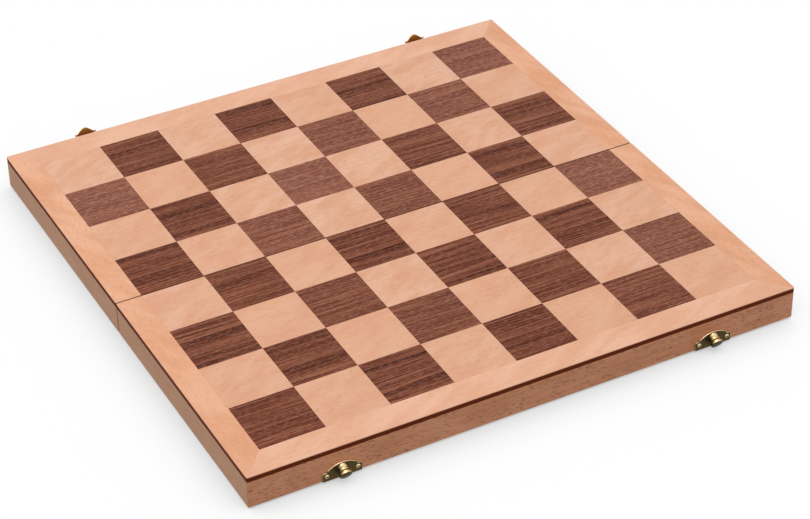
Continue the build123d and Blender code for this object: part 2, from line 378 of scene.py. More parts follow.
class ShaderGraph(Graph):
    """The node tree of a finish."""

    openness_samples: int = 16

    def __init__(self, name: str) -> None:
        """Start a material.

        Args:
            name: Name of the material.
        """
        self.material = bpy.data.materials.new(name)
        self.material.use_nodes = True
        super().__init__(self.material.node_tree)

    def millimetres(self) -> Term:
        """Object coordinates in millimetres."""
        place = self.node("ShaderNodeTexCoord", output="Object")
        return self.vector("MULTIPLY", place, (1 / MM,) * 3)

    def attribute(self, name: str, output: str) -> Term:
        """One output of a named attribute of the mesh."""
        return self.node("ShaderNodeAttribute", {"attribute_name": name}, output=output)

    def vector(self, operation: str, first: Any, second: Any) -> Term:
        """Vector arithmetic on two vectors."""
        return self.node("ShaderNodeVectorMath", {"operation": operation}, {0: first, 1: second})

    def axes(self, place: Term) -> tuple[Term, Term, Term]:
        """The three parts of a vector."""
        parts = self.node("ShaderNodeSeparateXYZ", sockets={0: place})
        return parts, parts.out("Y"), parts.out("Z")

    def turned(self, place: Term, turn: float) -> Term:
        """Turn a place about Z, so that its x runs in the direction at that many degrees."""
        spin = (0, 0, -radians(turn))
        return self.node("ShaderNodeMapping", sockets={"Vector": place, "Rotation": spin})

    def stretched(self, place: Term, lengths: Lengths) -> Term:
        """Divide a place by a feature's length along each axis."""
        return self.vector("DIVIDE", place, lengths)

    def cloud(self, place: Term, cloud: Cloud) -> Term:
        """Soft noise between 0 and 1.

        Args:
            place: Place in the pattern.
            cloud: The noise.

        Returns:
            The value there.
        """
        sockets = {"Scale": 1.0, "Detail": cloud.detail, "Roughness": cloud.roughness}
        return self.node(
            "ShaderNodeTexNoise", sockets={"Vector": self.stretched(place, cloud.lengths), **sockets}
        )

    def cells(self, place: Term, lengths: Lengths) -> Term:
        """Distance to the nearest of points scattered one to a cell of those lengths."""
        spots = {"Vector": self.stretched(place, lengths), "Scale": 1.0}
        return self.node("ShaderNodeTexVoronoi", sockets=spots)

    def bent(self, place: Term, sway: Cloud, width: float) -> Term:
        """Let straight fibres sway sideways.

        Args:
            place: Place along and across the fibres.
            sway: How the swaying changes along and across them.
            width: How far they sway, in millimetres.

        Returns:
            The place on the swaying fibres.
        """
        aside = (self.cloud(place, sway) - 0.5) * width
        both = self.node("ShaderNodeCombineXYZ", sockets={"Y": aside, "Z": aside})
        return self.vector("ADD", place, both)

    def blend(self, share: Any, first: Any, second: Any) -> Term:
        """Mix two colours.

        Args:
            share: Share of the second colour.
            first: The colour at a share of 0.
            second: The colour at a share of 1.

        Returns:
            The mixed colour.
        """
        settings = {"data_type": "RGBA", "blend_type": "MIX"}
        mixer = self.node("ShaderNodeMix", settings, {0: share}).socket.node
        for name, value in (("A", first), ("B", second)):
            self._feed(next(s for s in mixer.inputs if s.name == name and s.type == "RGBA"), value)
        return Term(self, next(s for s in mixer.outputs if s.type == "RGBA"))

    def openness(self, reach: float, inwards: bool = False, alone: bool = True) -> Term:
        """One where nothing is near, within a reach in millimetres, out of or into the surface."""
        settings = {"inside": inwards, "only_local": alone, "samples": self.openness_samples}
        return self.node("ShaderNodeAmbientOcclusion", settings, {"Distance": reach * MM}, "AO")

    def relief(self, height: Term, depth: float) -> Term:
        """Bump of a height from 0 to 1 over a depth in millimetres."""
        sockets = {"Height": height, "Distance": depth * MM, "Strength": 1.0}
        return self.node("ShaderNodeBump", sockets=sockets, output="Normal")

    def surface(self, **sockets: Any) -> Material:
        """Finish the material with one Principled shader.

        Args:
            sockets: The shader's inputs, with spaces written as underscores.

        Returns:
            The material.
        """
        named = {name.replace("_", " "): value for name, value in sockets.items()}
        shader = self.node("ShaderNodeBsdfPrincipled", sockets=named)
        self.node("ShaderNodeOutputMaterial", sockets={"Surface": shader})
        return self.material


class GrowthGraph(Graph):
    """A tree of Geometry Nodes with named inputs, which dresses what it grows."""

    def __init__(self, name: str, inputs: dict[str, str]) -> None:
        """Start a tree.

        Args:
            name: Name of the tree.
            inputs: The socket type of each named input; "Finish" and "Seed" are always there.
        """
        tree = bpy.data.node_groups.new(name, "GeometryNodeTree")
        super().__init__(tree)
        tree.interface.new_socket("Geometry", in_out="OUTPUT", socket_type="NodeSocketGeometry")
        always = {
            "Geometry": "NodeSocketGeometry",
            "Seed": "NodeSocketInt",
            "Finish": "NodeSocketMaterial",
        }
        for label, kind in {**always, **inputs}.items():
            tree.interface.new_socket(label, in_out="INPUT", socket_type=kind)
        self.given = self.node("NodeGroupInput")

    def chance_vector(self, reach: float, seed: Any) -> Term:
        """A random vector for each instance, with every part between -reach and reach."""
        sockets = {"Min": (-reach,) * 3, "Max": (reach,) * 3, "Seed": seed}
        return self.node("FunctionNodeRandomValue", {"data_type": "FLOAT_VECTOR"}, sockets)

    def chance_number(self, high: float, seed: Any) -> Term:
        """A random number for each instance.

        Args:
            high: The highest number; 0 is the lowest.
            seed: Seed of the draws.

        Returns:
            The number.
        """
        low_socket, high_socket, output = 2, 3, 1
        sockets = {low_socket: 0.0, high_socket: high, "Seed": seed}
        return self.node("FunctionNodeRandomValue", {"data_type": "FLOAT"}, sockets, output)

    def shape_of(self, name: str) -> Term:
        """The geometry of the object given by the named input."""
        sockets = {"Object": self.given.out(name)}
        return self.node("GeometryNodeObjectInfo", sockets=sockets, output="Geometry")

    def finish(self, geometry: Term) -> None:
        """Realize the instances, set their material and end the tree.

        Args:
            geometry: What the tree has grown.
        """
        solid = self.node("GeometryNodeRealizeInstances", sockets={"Geometry": geometry})
        sockets = {"Geometry": solid, "Material": self.given.out("Finish")}
        dressed = self.node("GeometryNodeSetMaterial", sockets=sockets)
        self.node("NodeGroupOutput", sockets={"Geometry": dressed})

    def grow(self, start: Mesh, values: dict[str, Any]) -> Mesh:
        """Run the tree.

        Args:
            start: The mesh that the tree starts from.
            values: A value for each named input.

        Returns:
            The plain mesh that it makes.
        """
        host = bpy.data.objects.new("host", start)
        modifier = host.modifiers.new("grow", "NODES")
        modifier.node_group = self.tree
        for item in self.tree.interface.items_tree:
            if item.in_out == "INPUT" and item.name in values:
                modifier[item.identifier] = values[item.name]
        return plain_mesh(host)


# ---- Finishes ----


def srgb(red: int, green: int, blue: int) -> Colour:
    """Linear colour of an ordinary 0 to 255 screen colour.

    Args:
        red: Red part.
        green: Green part.
        blue: Blue part.

    Returns:
        The colour, fully opaque.
    """

    def linear(value: float) -> float:
        """Undo the screen's transfer curve."""
        return value / 12.92 if value <= 0.04045 else ((value + 0.055) / 1.055) ** 2.4

    return (linear(red / 255), linear(green / 255), linear(blue / 255), 1.0)


@dataclass(frozen=True, kw_only=True)
class Finish(ABC):
    """A surface finish, with the name of its material and the slot that it belongs to."""

    name: str
    slot: Slot

    @cache
    def material(self) -> Material:
        """The finish's material, which is made once."""
        return self.mix()

    @abstractmethod
    def mix(self) -> Material:
        """Build the material."""


@dataclass(frozen=True, kw_only=True)
class Wood(Finish):
    """Lacquered wood with fine fibres, darkened along the seam: painted shade of the gap between the
    halves, together with the boards' edge stain crept over the rims there.
    """

    grain: Grain
    gloss: float
    sway: Cloud
    sway_width: float
    fibres: Cloud
    pore_bite: float
    pore_depth: float
    roughness: Range
    # Painted shade of the seam gap, together with the boards' edge stain crept over the rims there.
    seam_stain: Colour = srgb(98, 48, 24)
    seam_stain_share: float = 0.8
    seam_stain_reach: Range = (0.75, 0.35)

    def place(self, graph: ShaderGraph) -> Term:
        """Millimetres along and across the grain."""
        return graph.turned(graph.millimetres(), self.grain.value)

    def own_cut(self, graph: ShaderGraph) -> Term:
        """Millimetres along and across the grain, with each square cut from its own spot."""
        return graph.vector("ADD", self.place(graph), graph.attribute(CUT, "Vector"))

    def lacquered(self, graph: ShaderGraph, place: Term, colour: Term, pores: Term) -> Material:
        """Darken the rims at the seam with painted shade of the gap and the boards' edge stain, and lay
        the lacquer over fibres and pores.

        Args:
            graph: The finish's graph.
            place: Place along and across the grain.
            colour: Colour of the bare wood.
            pores: One where the surface is open.

        Returns:
            The material.
        """
        # Painted shade: a dark band within a millimetre of the seam, where the gap between the halves
        # lies in shade.
        from_seam = abs(graph.axes(graph.millimetres())[1])
        stained = from_seam.step(*self.seam_stain_reach) * self.seam_stain_share
        fibres = graph.cloud(place, self.fibres)
        smooth, rough = self.roughness
        return graph.surface(
            Base_Color=graph.blend(stained, colour, self.seam_stain),
            Roughness=fibres * (rough - smooth) + smooth,
            Normal=graph.relief(fibres - pores * self.pore_bite, self.pore_depth),
            Specular_IOR_Level=self.gloss,
        )


@dataclass(frozen=True, kw_only=True)
class Beech(Wood):
    """Pale wood with soft clouds, fine lines and short dark flecks along the grain."""

    pale: Colour
    rosy: Colour
    fleck: Colour
    fleck_share: float
    line_share: float = 0.22
    clouds: Cloud = Cloud((46.0, 15.0, 15.0), 3.0, 0.55)
    cloud_turn: float = 28.0
    lines: Cloud = Cloud((38.0, 1.3, 1.3), 3.0, 0.6)
    contrast: Range = (0.34, 0.66)
    fleck_lengths: Lengths = (6.0, 0.8, 0.8)
    fleck_core: Range = (0.38, 0.26)
    fleck_choice: Range = (0.30, 0.56)
    patches: Cloud = Cloud((30.0, 9.0, 9.0))
    patch_contrast: Range = (0.32, 0.62)
    patch_share: float = 0.35
    sway: Cloud = Cloud((80.0, 30.0, 30.0))
    sway_width: float = 7.0
    fibres: Cloud = Cloud((6.0, 0.35, 0.35), 3.0, 0.6)
    pore_bite: float = 0.7
    pore_depth: float = 0.012
    roughness: Range = (0.42, 0.56)
    gloss: float = 0.3

    def mix(self) -> Material:
        """Build the material."""
        graph = ShaderGraph(self.name)
        return self._flecked(graph, self.place(graph))

    def _flecked(
        self, graph: ShaderGraph, place: Term, tint: tuple[Term, Colour] | None = None
    ) -> Material:
        """Lay clouds, lines and flecks.

        Args:
            graph: The finish's graph.
            place: Place along and across the grain.
            tint: Share and colour of a tint under the flecks.

        Returns:
            The material.
        """
        bent = graph.bent(place, self.sway, self.sway_width)
        clouds = graph.cloud(graph.turned(bent, self.cloud_turn), self.clouds).step(*self.contrast)
        lines = graph.cloud(bent, self.lines).step(*self.contrast)
        share = clouds * (1 - self.line_share) + lines * self.line_share
        colour = graph.blend(share, self.pale, self.rosy)
        if tint:
            colour = graph.blend(tint[0], colour, tint[1])
        near = graph.cells(bent, self.fleck_lengths)
        chosen = near.out("Color").step(*self.fleck_choice)
        patchy = graph.cloud(place, self.patches).step(*self.patch_contrast)
        present = patchy * self.patch_share + (1 - self.patch_share)
        flecks = near.step(*self.fleck_core) * chosen * present
        colour = graph.blend(flecks * self.fleck_share, colour, self.fleck)
        return self.lacquered(graph, place, colour, flecks)


@dataclass(frozen=True, kw_only=True)
class SquareBeech(Beech):
    """Beech of the light squares, each with a tone of its own."""

    warm: Colour
    warm_share: float = 0.5

    def mix(self) -> Material:
        """Build the material.

        Returns:
            The material.
        """
        graph = ShaderGraph(self.name)
        tint = (graph.attribute(TONE, "Fac") * self.warm_share, self.warm)
        return self._flecked(graph, self.own_cut(graph), tint)


@dataclass(frozen=True, kw_only=True)
class SquareWalnut(Wood):
    """Walnut of the dark squares, with growth rings, streaks and light open pores along the grain.

    Every square has its own tone: the pale ones are mottled and a little mauve, the dark ones show
    their rings as bands.
    """

    light: Colour
    body: Colour
    dark: Colour
    mauve: Colour
    pore: Colour
    body_depth: float = 0.48
    pale_tones: Range = (0.42, 0.0)
    pale_lift: float = 0.13
    mauve_share: float = 0.4
    ring_width: float = 26.0
    ring_sharpness: float = 6.0
    ring_tones: Range = (0.3, 1.0)
    ring_share: Range = (0.05, 0.6)
    least_depth: float = 0.12
    streaks: Cloud = Cloud((150.0, 1.25, 1.25))
    streak_share: float = 0.42
    lines: Cloud = Cloud((55.0, 0.62, 0.62), 2.0, 0.6)
    line_share: float = 0.40
    contrast: Range = (0.36, 0.64)
    pore_lengths: Lengths = (5.2, 0.7, 0.7)
    pore_core: Range = (0.42, 0.26)
    pore_share: Range = (0.24, 0.32)
    sway: Cloud = Cloud((190.0, 30.0, 30.0))
    sway_width: float = 5.0
    fibres: Cloud = Cloud((7.0, 0.3, 0.3), 3.0, 0.6)
    pore_bite: float = 0.6
    pore_depth: float = 0.02
    roughness: Range = (0.40, 0.54)
    gloss: float = 0.07

    def mix(self) -> Material:
        """Build the material.

        Returns:
            The material.
        """
        graph = ShaderGraph(self.name)
        tone = graph.attribute(TONE, "Fac")
        pale = tone.step(*self.pale_tones)
        place = self.own_cut(graph)
        bent = graph.bent(place, self.sway, self.sway_width)
        depth = self._depth(graph, bent, tone) - pale * self.pale_lift
        stops = ((0.0, self.light), (self.body_depth, self.body), (1.0, self.dark))
        colour = graph.node("ShaderNodeValToRGB", {"stops": stops}, {"Fac": depth}, "Color")
        colour = graph.blend(pale * self.mauve_share, colour, self.mauve)
        pores = graph.cells(place, self.pore_lengths).step(*self.pore_core)
        everywhere, on_pale = self.pore_share
        colour = graph.blend(pores * (pale * on_pale + everywhere), colour, self.pore)
        return self.lacquered(graph, place, colour, pores)

    def _depth(self, graph: ShaderGraph, bent: Term, tone: Term) -> Term:
        """How dark the wood is, from its streaks, lines and rings.

        Args:
            graph: The finish's graph.
            bent: Place on the swaying fibres.
            tone: Tone of the square.

        Returns:
            A value between 0 and about 1.
        """
        sideways = graph.axes(bent)[1] / self.ring_width
        faint, clear = self.ring_share
        clearness = tone.step(*self.ring_tones) * clear + faint
        rings = (sideways - sideways.floor()) ** self.ring_sharpness * clearness
        streaks = graph.cloud(bent, self.streaks).step(*self.contrast)
        lines = graph.cloud(bent, self.lines).step(*self.contrast)
        return streaks * self.streak_share + lines * self.line_share + rings + self.least_depth


@dataclass(frozen=True, kw_only=True)
class StainedBoard(Finish):
    """The dark stained edge of the boards under the veneer, with faint sanding lines."""

    name: str = "stained_board_edge"
    slot: Slot = Slot.PANEL_EDGE
    stain: Colour = srgb(98, 36, 6)
    thin: Colour = srgb(124, 56, 20)
    layers: Cloud = Cloud((40.0, 40.0, 0.7), 3.0, 0.6)
    chips: Cloud = Cloud((2.2, 2.2, 0.6), 2.0)
    chip_share: float = 0.4
    contrast: Range = (0.42, 0.75)
    thin_share: float = 0.55
    roughness: Range = (0.62, 0.80)
    depth: float = 0.03
    gloss: float = 0.08

    def mix(self) -> Material:
        """Build the material.

        Returns:
            The material.
        """
        graph = ShaderGraph(self.name)
        place = graph.millimetres()
        layers, chips = graph.cloud(place, self.layers), graph.cloud(place, self.chips)
        worn = (layers * (1 - self.chip_share) + chips * self.chip_share).step(*self.contrast)
        smooth, rough = self.roughness
        return graph.surface(
            Base_Color=graph.blend(worn * self.thin_share, self.stain, self.thin),
            Roughness=smooth + chips * (rough - smooth),
            Normal=graph.relief(layers + chips * self.chip_share, self.depth),
            Specular_IOR_Level=self.gloss,
        )


@dataclass(frozen=True, kw_only=True)
class Felt(Finish):
    """Pressed wool felt, with a matted nap of crossed fibres."""

    name: str = "green_felt"
    slot: Slot = Slot.FELT
    dark: Colour = srgb(22, 74, 46)
    light: Colour = srgb(44, 108, 68)
    mat: Cloud = Cloud((7.0, 7.0, 7.0), 4.0, 0.65)
    fibres: Cloud = Cloud((0.9, 0.25, 0.5), 3.0, 0.7)
    crossed: Cloud = Cloud((0.25, 1.1, 0.5), 3.0, 0.7)
    mat_share: float = 0.4
    mat_relief: float = 0.5
    contrast: Range = (0.35, 0.65)
    roughness: Range = (0.85, 1.0)
    depth: float = 0.25
    sheen: float = 0.35
    sheen_roughness: float = 0.5

    def mix(self) -> Material:
        """Build the material.

        Returns:
            The material.
        """
        graph = ShaderGraph(self.name)
        place = graph.millimetres()
        mat = graph.cloud(place, self.mat)
        lie = (graph.cloud(place, self.fibres) + graph.cloud(place, self.crossed)) / 2
        share = (mat * self.mat_share + lie * (1 - self.mat_share)).step(*self.contrast)
        smooth, rough = self.roughness
        return graph.surface(
            Base_Color=graph.blend(share, self.dark, self.light),
            Roughness=smooth + lie * (rough - smooth),
            Normal=graph.relief(lie + mat * self.mat_relief, self.depth),
            Sheen_Weight=self.sheen,
            Sheen_Roughness=self.sheen_roughness,
        )


@dataclass(frozen=True, kw_only=True)
class Brass(Finish):
    """Brass with a patina in its hollows, rubbed bright on edges, and with painted light that draws its
    upward faces brighter.
    """

    bright: Colour
    patina: Colour
    # Painted light: the range of the normal's upward part over which the metal is drawn brighter, as if
    # lit from above.
    upper: Range
    edge_reach: float = 0.45
    edge_range: Range = (0.08, 0.5)
    edge_share: float = 0.7
    # Share of the painted top light in the bright mix.
    upper_share: float = 0.85
    hollow_reach: float = 0.8
    hollow_range: Range = (0.12, 0.6)
    hollow_share: float = 0.6
    rub_range: Range = (0.08, 0.9)
    grime: Colour = srgb(44, 34, 22)
    stains: Cloud = Cloud((2.6, 2.6, 2.6), 3.0, 0.6)
    stain_range: Range = (0.6, 1.4)
    stain_relief: float = 0.5
    pits: Cloud = Cloud((0.28, 0.28, 0.28), 2.0)
    pit_roughness: float = 0.06
    pit_depth: float = 0.03
    roughness: Range = (0.26, 0.46)

    def mix(self) -> Material:
        """Build the material.

        Returns:
            The material.
        """
        graph = ShaderGraph(self.name)
        place = graph.millimetres()
        stains, pits = graph.cloud(place, self.stains), graph.cloud(place, self.pits)
        hollows = (1 - graph.openness(self.hollow_reach)).step(*self.hollow_range)
        # Where the brass is drawn bright: real wear on rubbed edges plus painted light on upward faces.
        share = self._rubbed(graph, stains, hollows).step(*self.rub_range)
        metal = graph.blend(share, self.patina, self.bright)
        smooth, rough = self.roughness
        return graph.surface(
            Base_Color=graph.blend(hollows * self.hollow_share, metal, self.grime),
            Metallic=1.0,
            Roughness=rough - share * (rough - smooth) + pits * self.pit_roughness,
            Normal=graph.relief(pits + stains * self.stain_relief, self.pit_depth),
        )

    def _rubbed(self, graph: ShaderGraph, stains: Term, hollows: Term) -> Term:
        """How bright the metal is drawn: rubbed on edges and painted light on upper sides, unevenly,
        and not in hollows.

        Args:
            graph: The finish's graph.
            stains: Where stains hold.
            hollows: Where the surface is hollow.

        Returns:
            A value between about -1 and 2.
        """
        edges = (1 - graph.openness(self.edge_reach, inwards=True)).step(*self.edge_range)
        facing = graph.node("ShaderNodeTexCoord", output="Normal")
        # Painted light: faces turned up are drawn brighter, as if lit from above.
        painted_top_light = graph.axes(facing)[2].step(*self.upper)
        least, most = self.stain_range
        uneven = least + stains * (most - least)
        # Real edge wear plus painted top light.
        worn = edges * self.edge_share + painted_top_light * self.upper_share
        return worn * uneven - hollows * self.hollow_share


BORDER_FLECK, WALL_FLECK = srgb(196, 128, 90), srgb(106, 52, 32)

BORDER_WOOD = {
    Grain.ALONG_X: Beech(
        name="border_beech_along_x",
        slot=Slot.BORDER_VENEER,
        grain=Grain.ALONG_X,
        pale=srgb(239, 187, 157),
        rosy=srgb(229, 170, 137),
        fleck=BORDER_FLECK,
        fleck_share=0.30,
    ),
    Grain.ALONG_Y: Beech(
        name="border_beech_along_y",
        slot=Slot.BORDER_VENEER,
        grain=Grain.ALONG_Y,
        pale=srgb(238, 181, 146),
        rosy=srgb(225, 160, 121),
        fleck=BORDER_FLECK,
        fleck_share=0.45,
    ),
}
# Painted light: the side walls' wood (grain along Y) is drawn greyer and cooler than the front and back
# walls', standing for cooler light on the sides. Their sparser flecks are the wood's own.
WALL_WOOD = {
    Grain.ALONG_X: Beech(
        name="wall_beech_along_x",
        slot=Slot.BEECH_WALL,
        grain=Grain.ALONG_X,
        pale=srgb(214, 148, 110),
        rosy=srgb(193, 125, 86),
        fleck=WALL_FLECK,
        fleck_share=0.84,
        fleck_lengths=(5.0, 0.7, 0.7),
        line_share=0.5,
    ),
    # Greyer, cooler tone: painted light on the side walls.
    Grain.ALONG_Y: Beech(
        name="wall_beech_along_y_painted_cool_light",
        slot=Slot.BEECH_WALL,
        grain=Grain.ALONG_Y,
        pale=srgb(193, 137, 96),
        rosy=srgb(179, 123, 82),
        fleck=WALL_FLECK,
        fleck_share=0.24,
        line_share=0.5,
    ),
}
SQUARE_WOOD = {
    Shade.DARK: SquareWalnut(
        name="dark_square_walnut",
        slot=Slot.DARK_VENEER,
        grain=Grain.ALONG_X,
        light=srgb(166, 108, 82),
        body=srgb(120, 64, 44),
        dark=srgb(72, 28, 14),
        mauve=srgb(150, 96, 82),
        pore=srgb(198, 148, 126),
    ),
    Shade.LIGHT: SquareBeech(
        name="light_square_beech",
        slot=Slot.LIGHT_VENEER,
        grain=Grain.ALONG_X,
        pale=srgb(234, 185, 156),
        rosy=srgb(220, 160, 126),
        warm=srgb(224, 164, 128),
        fleck=srgb(186, 122, 88),
        fleck_share=0.34,
        line_share=0.34,
        clouds=Cloud((30.0, 12.0, 12.0), 3.0, 0.55),
    ),
}
# In each brass finish, the upper range sets the painted light that draws its upward faces brighter.
PLATE_BRASS = Brass(
    name="antique_brass",
    slot=Slot.ANTIQUE_BRASS,
    bright=srgb(250, 228, 190),
    patina=srgb(76, 60, 34),
    upper=(0.3, 0.75),
    edge_reach=0.6,
)
# Painted shade and light: the knob's patina is drawn dark and shows on its downward faces, while its
# upper range draws the faces turned up bright.
KNOB_BRASS = Brass(
    name="knob_brass",
    slot=Slot.ANTIQUE_BRASS,
    bright=srgb(232, 204, 146),
    patina=srgb(62, 44, 26),
    upper=(0.0, 0.95),
)
HASP_BRASS = Brass(
    name="hasp_brass",
    slot=Slot.HASP_BRASS,
    bright=srgb(210, 152, 80),
    patina=srgb(170, 106, 40),
    upper=(-0.2, 1.0),
)
HINGE_BRASS = Brass(
    name="hinge_brass",
    slot=Slot.HINGE_BRASS,
    bright=srgb(222, 184, 104),
    patina=srgb(170, 130, 62),
    upper=(-1.0, 0.2),
)
# Painted light and shade: the screw heads' lower halves are drawn darker and their tops brighter.
LATCH_SCREW_BRASS = Brass(
    name="screw_brass",
    slot=Slot.ANTIQUE_BRASS,
    bright=srgb(236, 222, 166),
    patina=srgb(94, 78, 42),
    upper=(-0.3, 0.75),
    edge_reach=0.25,
)
HINGE_SCREW_BRASS = Brass(
    name="hinge_screw_brass",
    slot=Slot.HINGE_BRASS,
    bright=srgb(224, 198, 128),
    patina=srgb(176, 144, 80),
    upper=(-1.0, 0.2),
    edge_reach=0.25,
)


# ---- Mesh tools, in millimetres ----


def plain_mesh(thing: Object) -> Mesh:
    """Apply what an object's modifiers make, and remove the object.

    Args:
        thing: Any object that can become a mesh.

    Returns:
        Its evaluated mesh.
    """
    if not thing.users_collection:
        bpy.context.scene.collection.objects.link(thing)
    world = bpy.context.evaluated_depsgraph_get()
    mesh = bpy.data.meshes.new_from_object(thing.evaluated_get(world), depsgraph=world)
    bpy.data.objects.remove(thing)
    return mesh


def welded(mesh: Mesh, change: Change | None = None) -> Mesh:
    """Change a mesh, merge its doubled points and turn every face outwards.

    Args:
        mesh: The mesh.
        change: What to do to its editable form first.

    Returns:
        The same mesh.
    """
    shape = bmesh.new()
    shape.from_mesh(mesh)
    if change:
        change(shape)
    bmesh.ops.remove_doubles(shape, verts=shape.verts, dist=WELD)
    bmesh.ops.recalc_face_normals(shape, faces=shape.faces)
    shape.to_mesh(mesh)
    shape.free()
    return mesh


def close_rim(shape: Shape) -> None:
    """Close a shape's only opening with one face."""
    bmesh.ops.contextual_create(shape, geom=[edge for edge in shape.edges if edge.is_boundary])


def arc(centre: Point, radius: float, start: float, stop: float, steps: int = ARC_STEPS) -> list[Point]:
    """Points along an arc, one more than its steps, between two angles in degrees."""
    angles = (radians(start + (stop - start) * step / steps) for step in range(steps + 1))
    return [(centre[0] + radius * cos(angle), centre[1] + radius * sin(angle)) for angle in angles]


def circle(centre: Point, radius: float, steps: int = ROUND_STEPS) -> list[Point]:
    """Points round a full circle."""
    return arc(centre, radius, 0, 360, steps)[:-1]


def bezier(
    start: Point, pull: Point, lead: Point, stop: Point, steps: int = CURVE_STEPS
) -> list[Point]:
    """Points along a cubic curve.

    Args:
        start: Its first point.
        pull: Where it heads for as it leaves.
        lead: Where it comes from as it arrives.
        stop: Its last point.
        steps: Number of runs between the points.

    Returns:
        The points, one more than the steps.
    """
    points = []
    for step in range(steps + 1):
        share = step / steps
        rest = 1 - share
        weights = (rest**3, 3 * rest**2 * share, 3 * rest * share**2, share**3)
        pairs = list(zip(weights, (start, pull, lead, stop)))
        points.append((sum(w * p[0] for w, p in pairs), sum(w * p[1] for w, p in pairs)))
    return points


def eased(path: Sequence[Point], radii: Sequence[float], steps: int = RIM_STEPS) -> list[Point]:
    """Round the inner corners of an open path.

    Args:
        path: Its corners.
        radii: How far each inner corner is cut back along its two sides.
        steps: Runs in each rounding.

    Returns:
        The path with its corners rounded.
    """
    points = [path[0]]
    for before, corner, after, radius in zip(path, path[1:], path[2:], radii):
        middle = Vector(corner)
        first = middle + (Vector(before) - middle).normalized() * radius
        last = middle + (Vector(after) - middle).normalized() * radius
        for step in range(steps + 1):
            share = step / steps
            spot = first * (1 - share) ** 2 + middle * (2 * share * (1 - share)) + last * share**2
            points.append((spot.x, spot.y))
    return [*points, path[-1]]


def mirrored(side: Sequence[Point]) -> list[Point]:
    """The left side of an outline, from its right side, in the order that closes it."""
    return [(-x, y) for x, y in reversed(side)]


def shift(x: float = 0.0, y: float = 0.0, z: float = 0.0) -> Matrix:
    """A placement that only moves."""
    return Matrix.Translation((x, y, z))


def moved(mesh: Mesh, *steps: Matrix) -> Mesh:
    """Move a mesh by a row of placements, the last one first.

    Args:
        mesh: The mesh.
        steps: The placements.

    Returns:
        The same mesh.
    """
    for step in reversed(steps):
        mesh.transform(step)
    return mesh


def slab(outlines: Sequence[Sequence[Point]], height: float, ease: float, bottom: float = 0.0) -> Mesh:
    """A flat part with holes and softly rounded rims, parallel to the XY plane.

    Args:
        outlines: The outer outline and any holes.
        height: Thickness of the part.
        ease: Radius of its rims.
        bottom: Height of its underside.

    Returns:
        The mesh.
    """
    curve = bpy.data.curves.new("slab", "CURVE")
    curve.dimensions, curve.fill_mode = "2D", "BOTH"
    curve.extrude = height / 2 - ease
    curve.bevel_depth, curve.bevel_resolution, curve.offset = ease, RIM_STEPS - 1, -ease
    for outline in outlines:
        spline = curve.splines.new("POLY")
        spline.points.add(len(outline) - 1)
        for knot, (across, up) in zip(spline.points, outline):
            knot.co = (across, up, 0, 1)
        spline.use_cyclic_u = True
    mesh = plain_mesh(bpy.data.objects.new("slab", curve))
    return moved(welded(moved(mesh, shift(z=height / 2))), shift(z=bottom))


def turned(profile: Sequence[Point], steps: int = TURNED_STEPS) -> Mesh:
    """A solid turned about Z.

    Args:
        profile: Points of (radius, height) from the lower pole to the upper one.
        steps: Sides of the turned solid.

    Returns:
        The mesh.
    """

    def spin(shape: Shape) -> None:
        """Lay one ring of points per profile point and join neighbours.

        Args:
            shape: The mesh's editable form.
        """
        rings = []
        for radius, height in profile:
            around = circle((0, 0), radius, steps) if radius > WELD else [(0.0, 0.0)]
            rings.append([shape.verts.new((x, y, height)) for x, y in around])
        for lower, upper in zip(rings, rings[1:]):
            for here in range(steps):
                after = (here + 1) % steps
                corners = [
                    lower[here % len(lower)],
                    lower[after % len(lower)],
                    upper[after % len(upper)],
                    upper[here % len(upper)],
                ]
                shape.faces.new(dict.fromkeys(corners))

    return welded(bpy.data.meshes.new("turned"), spin)


def rod(radius: float, length: float, ease: float = 0.0) -> Mesh:
    """A round bar along X, centred on the origin.

    Args:
        radius: Radius of the bar.
        length: Its length.
        ease: Radius of its ends' rims.

    Returns:
        The mesh.
    """
    corners = [(0, -length / 2), (radius, -length / 2), (radius, length / 2), (0, length / 2)]
    profile = eased(corners, (ease, ease)) if ease else corners
    return moved(turned(profile, ROUND_STEPS), Matrix.Rotation(pi / 2, 4, "Y"))


def block(low: Sequence[float], high: Sequence[float]) -> Mesh:
    """A plain box that cuts, or stays hidden between two parts.

    Args:
        low: Its lowest corner.
        high: Its highest corner.

    Returns:
        The mesh.
    """

    def fill(shape: Shape) -> None:
        """Raise the floor to the upper corner.

        Args:
            shape: The mesh's editable form.
        """
        outline = ((low[0], low[1]), (high[0], low[1]), (high[0], high[1]), (low[0], high[1]))
        floor = shape.faces.new([shape.verts.new((x, y, low[2])) for x, y in outline])
        raised = bmesh.ops.extrude_face_region(shape, geom=[floor])["geom"]
        lifted = [part for part in raised if isinstance(part, bmesh.types.BMVert)]
        bmesh.ops.translate(shape, verts=lifted, vec=(0, 0, high[2] - low[2]))

    return welded(bpy.data.meshes.new("block"), fill)


def joined(mesh: Mesh, others: Sequence[Mesh], how: Joining) -> Mesh:
    """Join a solid with others.

    Args:
        mesh: The solid.
        others: Solids to add or to cut away.
        how: How they are joined.

    Returns:
        One closed mesh.
    """
    body = bpy.data.objects.new("body", mesh)
    tools = [bpy.data.objects.new("tool", other) for other in others]
    for tool in tools:
        bpy.context.scene.collection.objects.link(tool)
        modifier = body.modifiers.new("join", "BOOLEAN")
        modifier.operation, modifier.solver, modifier.object = how.value, "EXACT", tool
    result = plain_mesh(body)
    for tool in tools:
        bpy.data.objects.remove(tool)
    return welded(result)


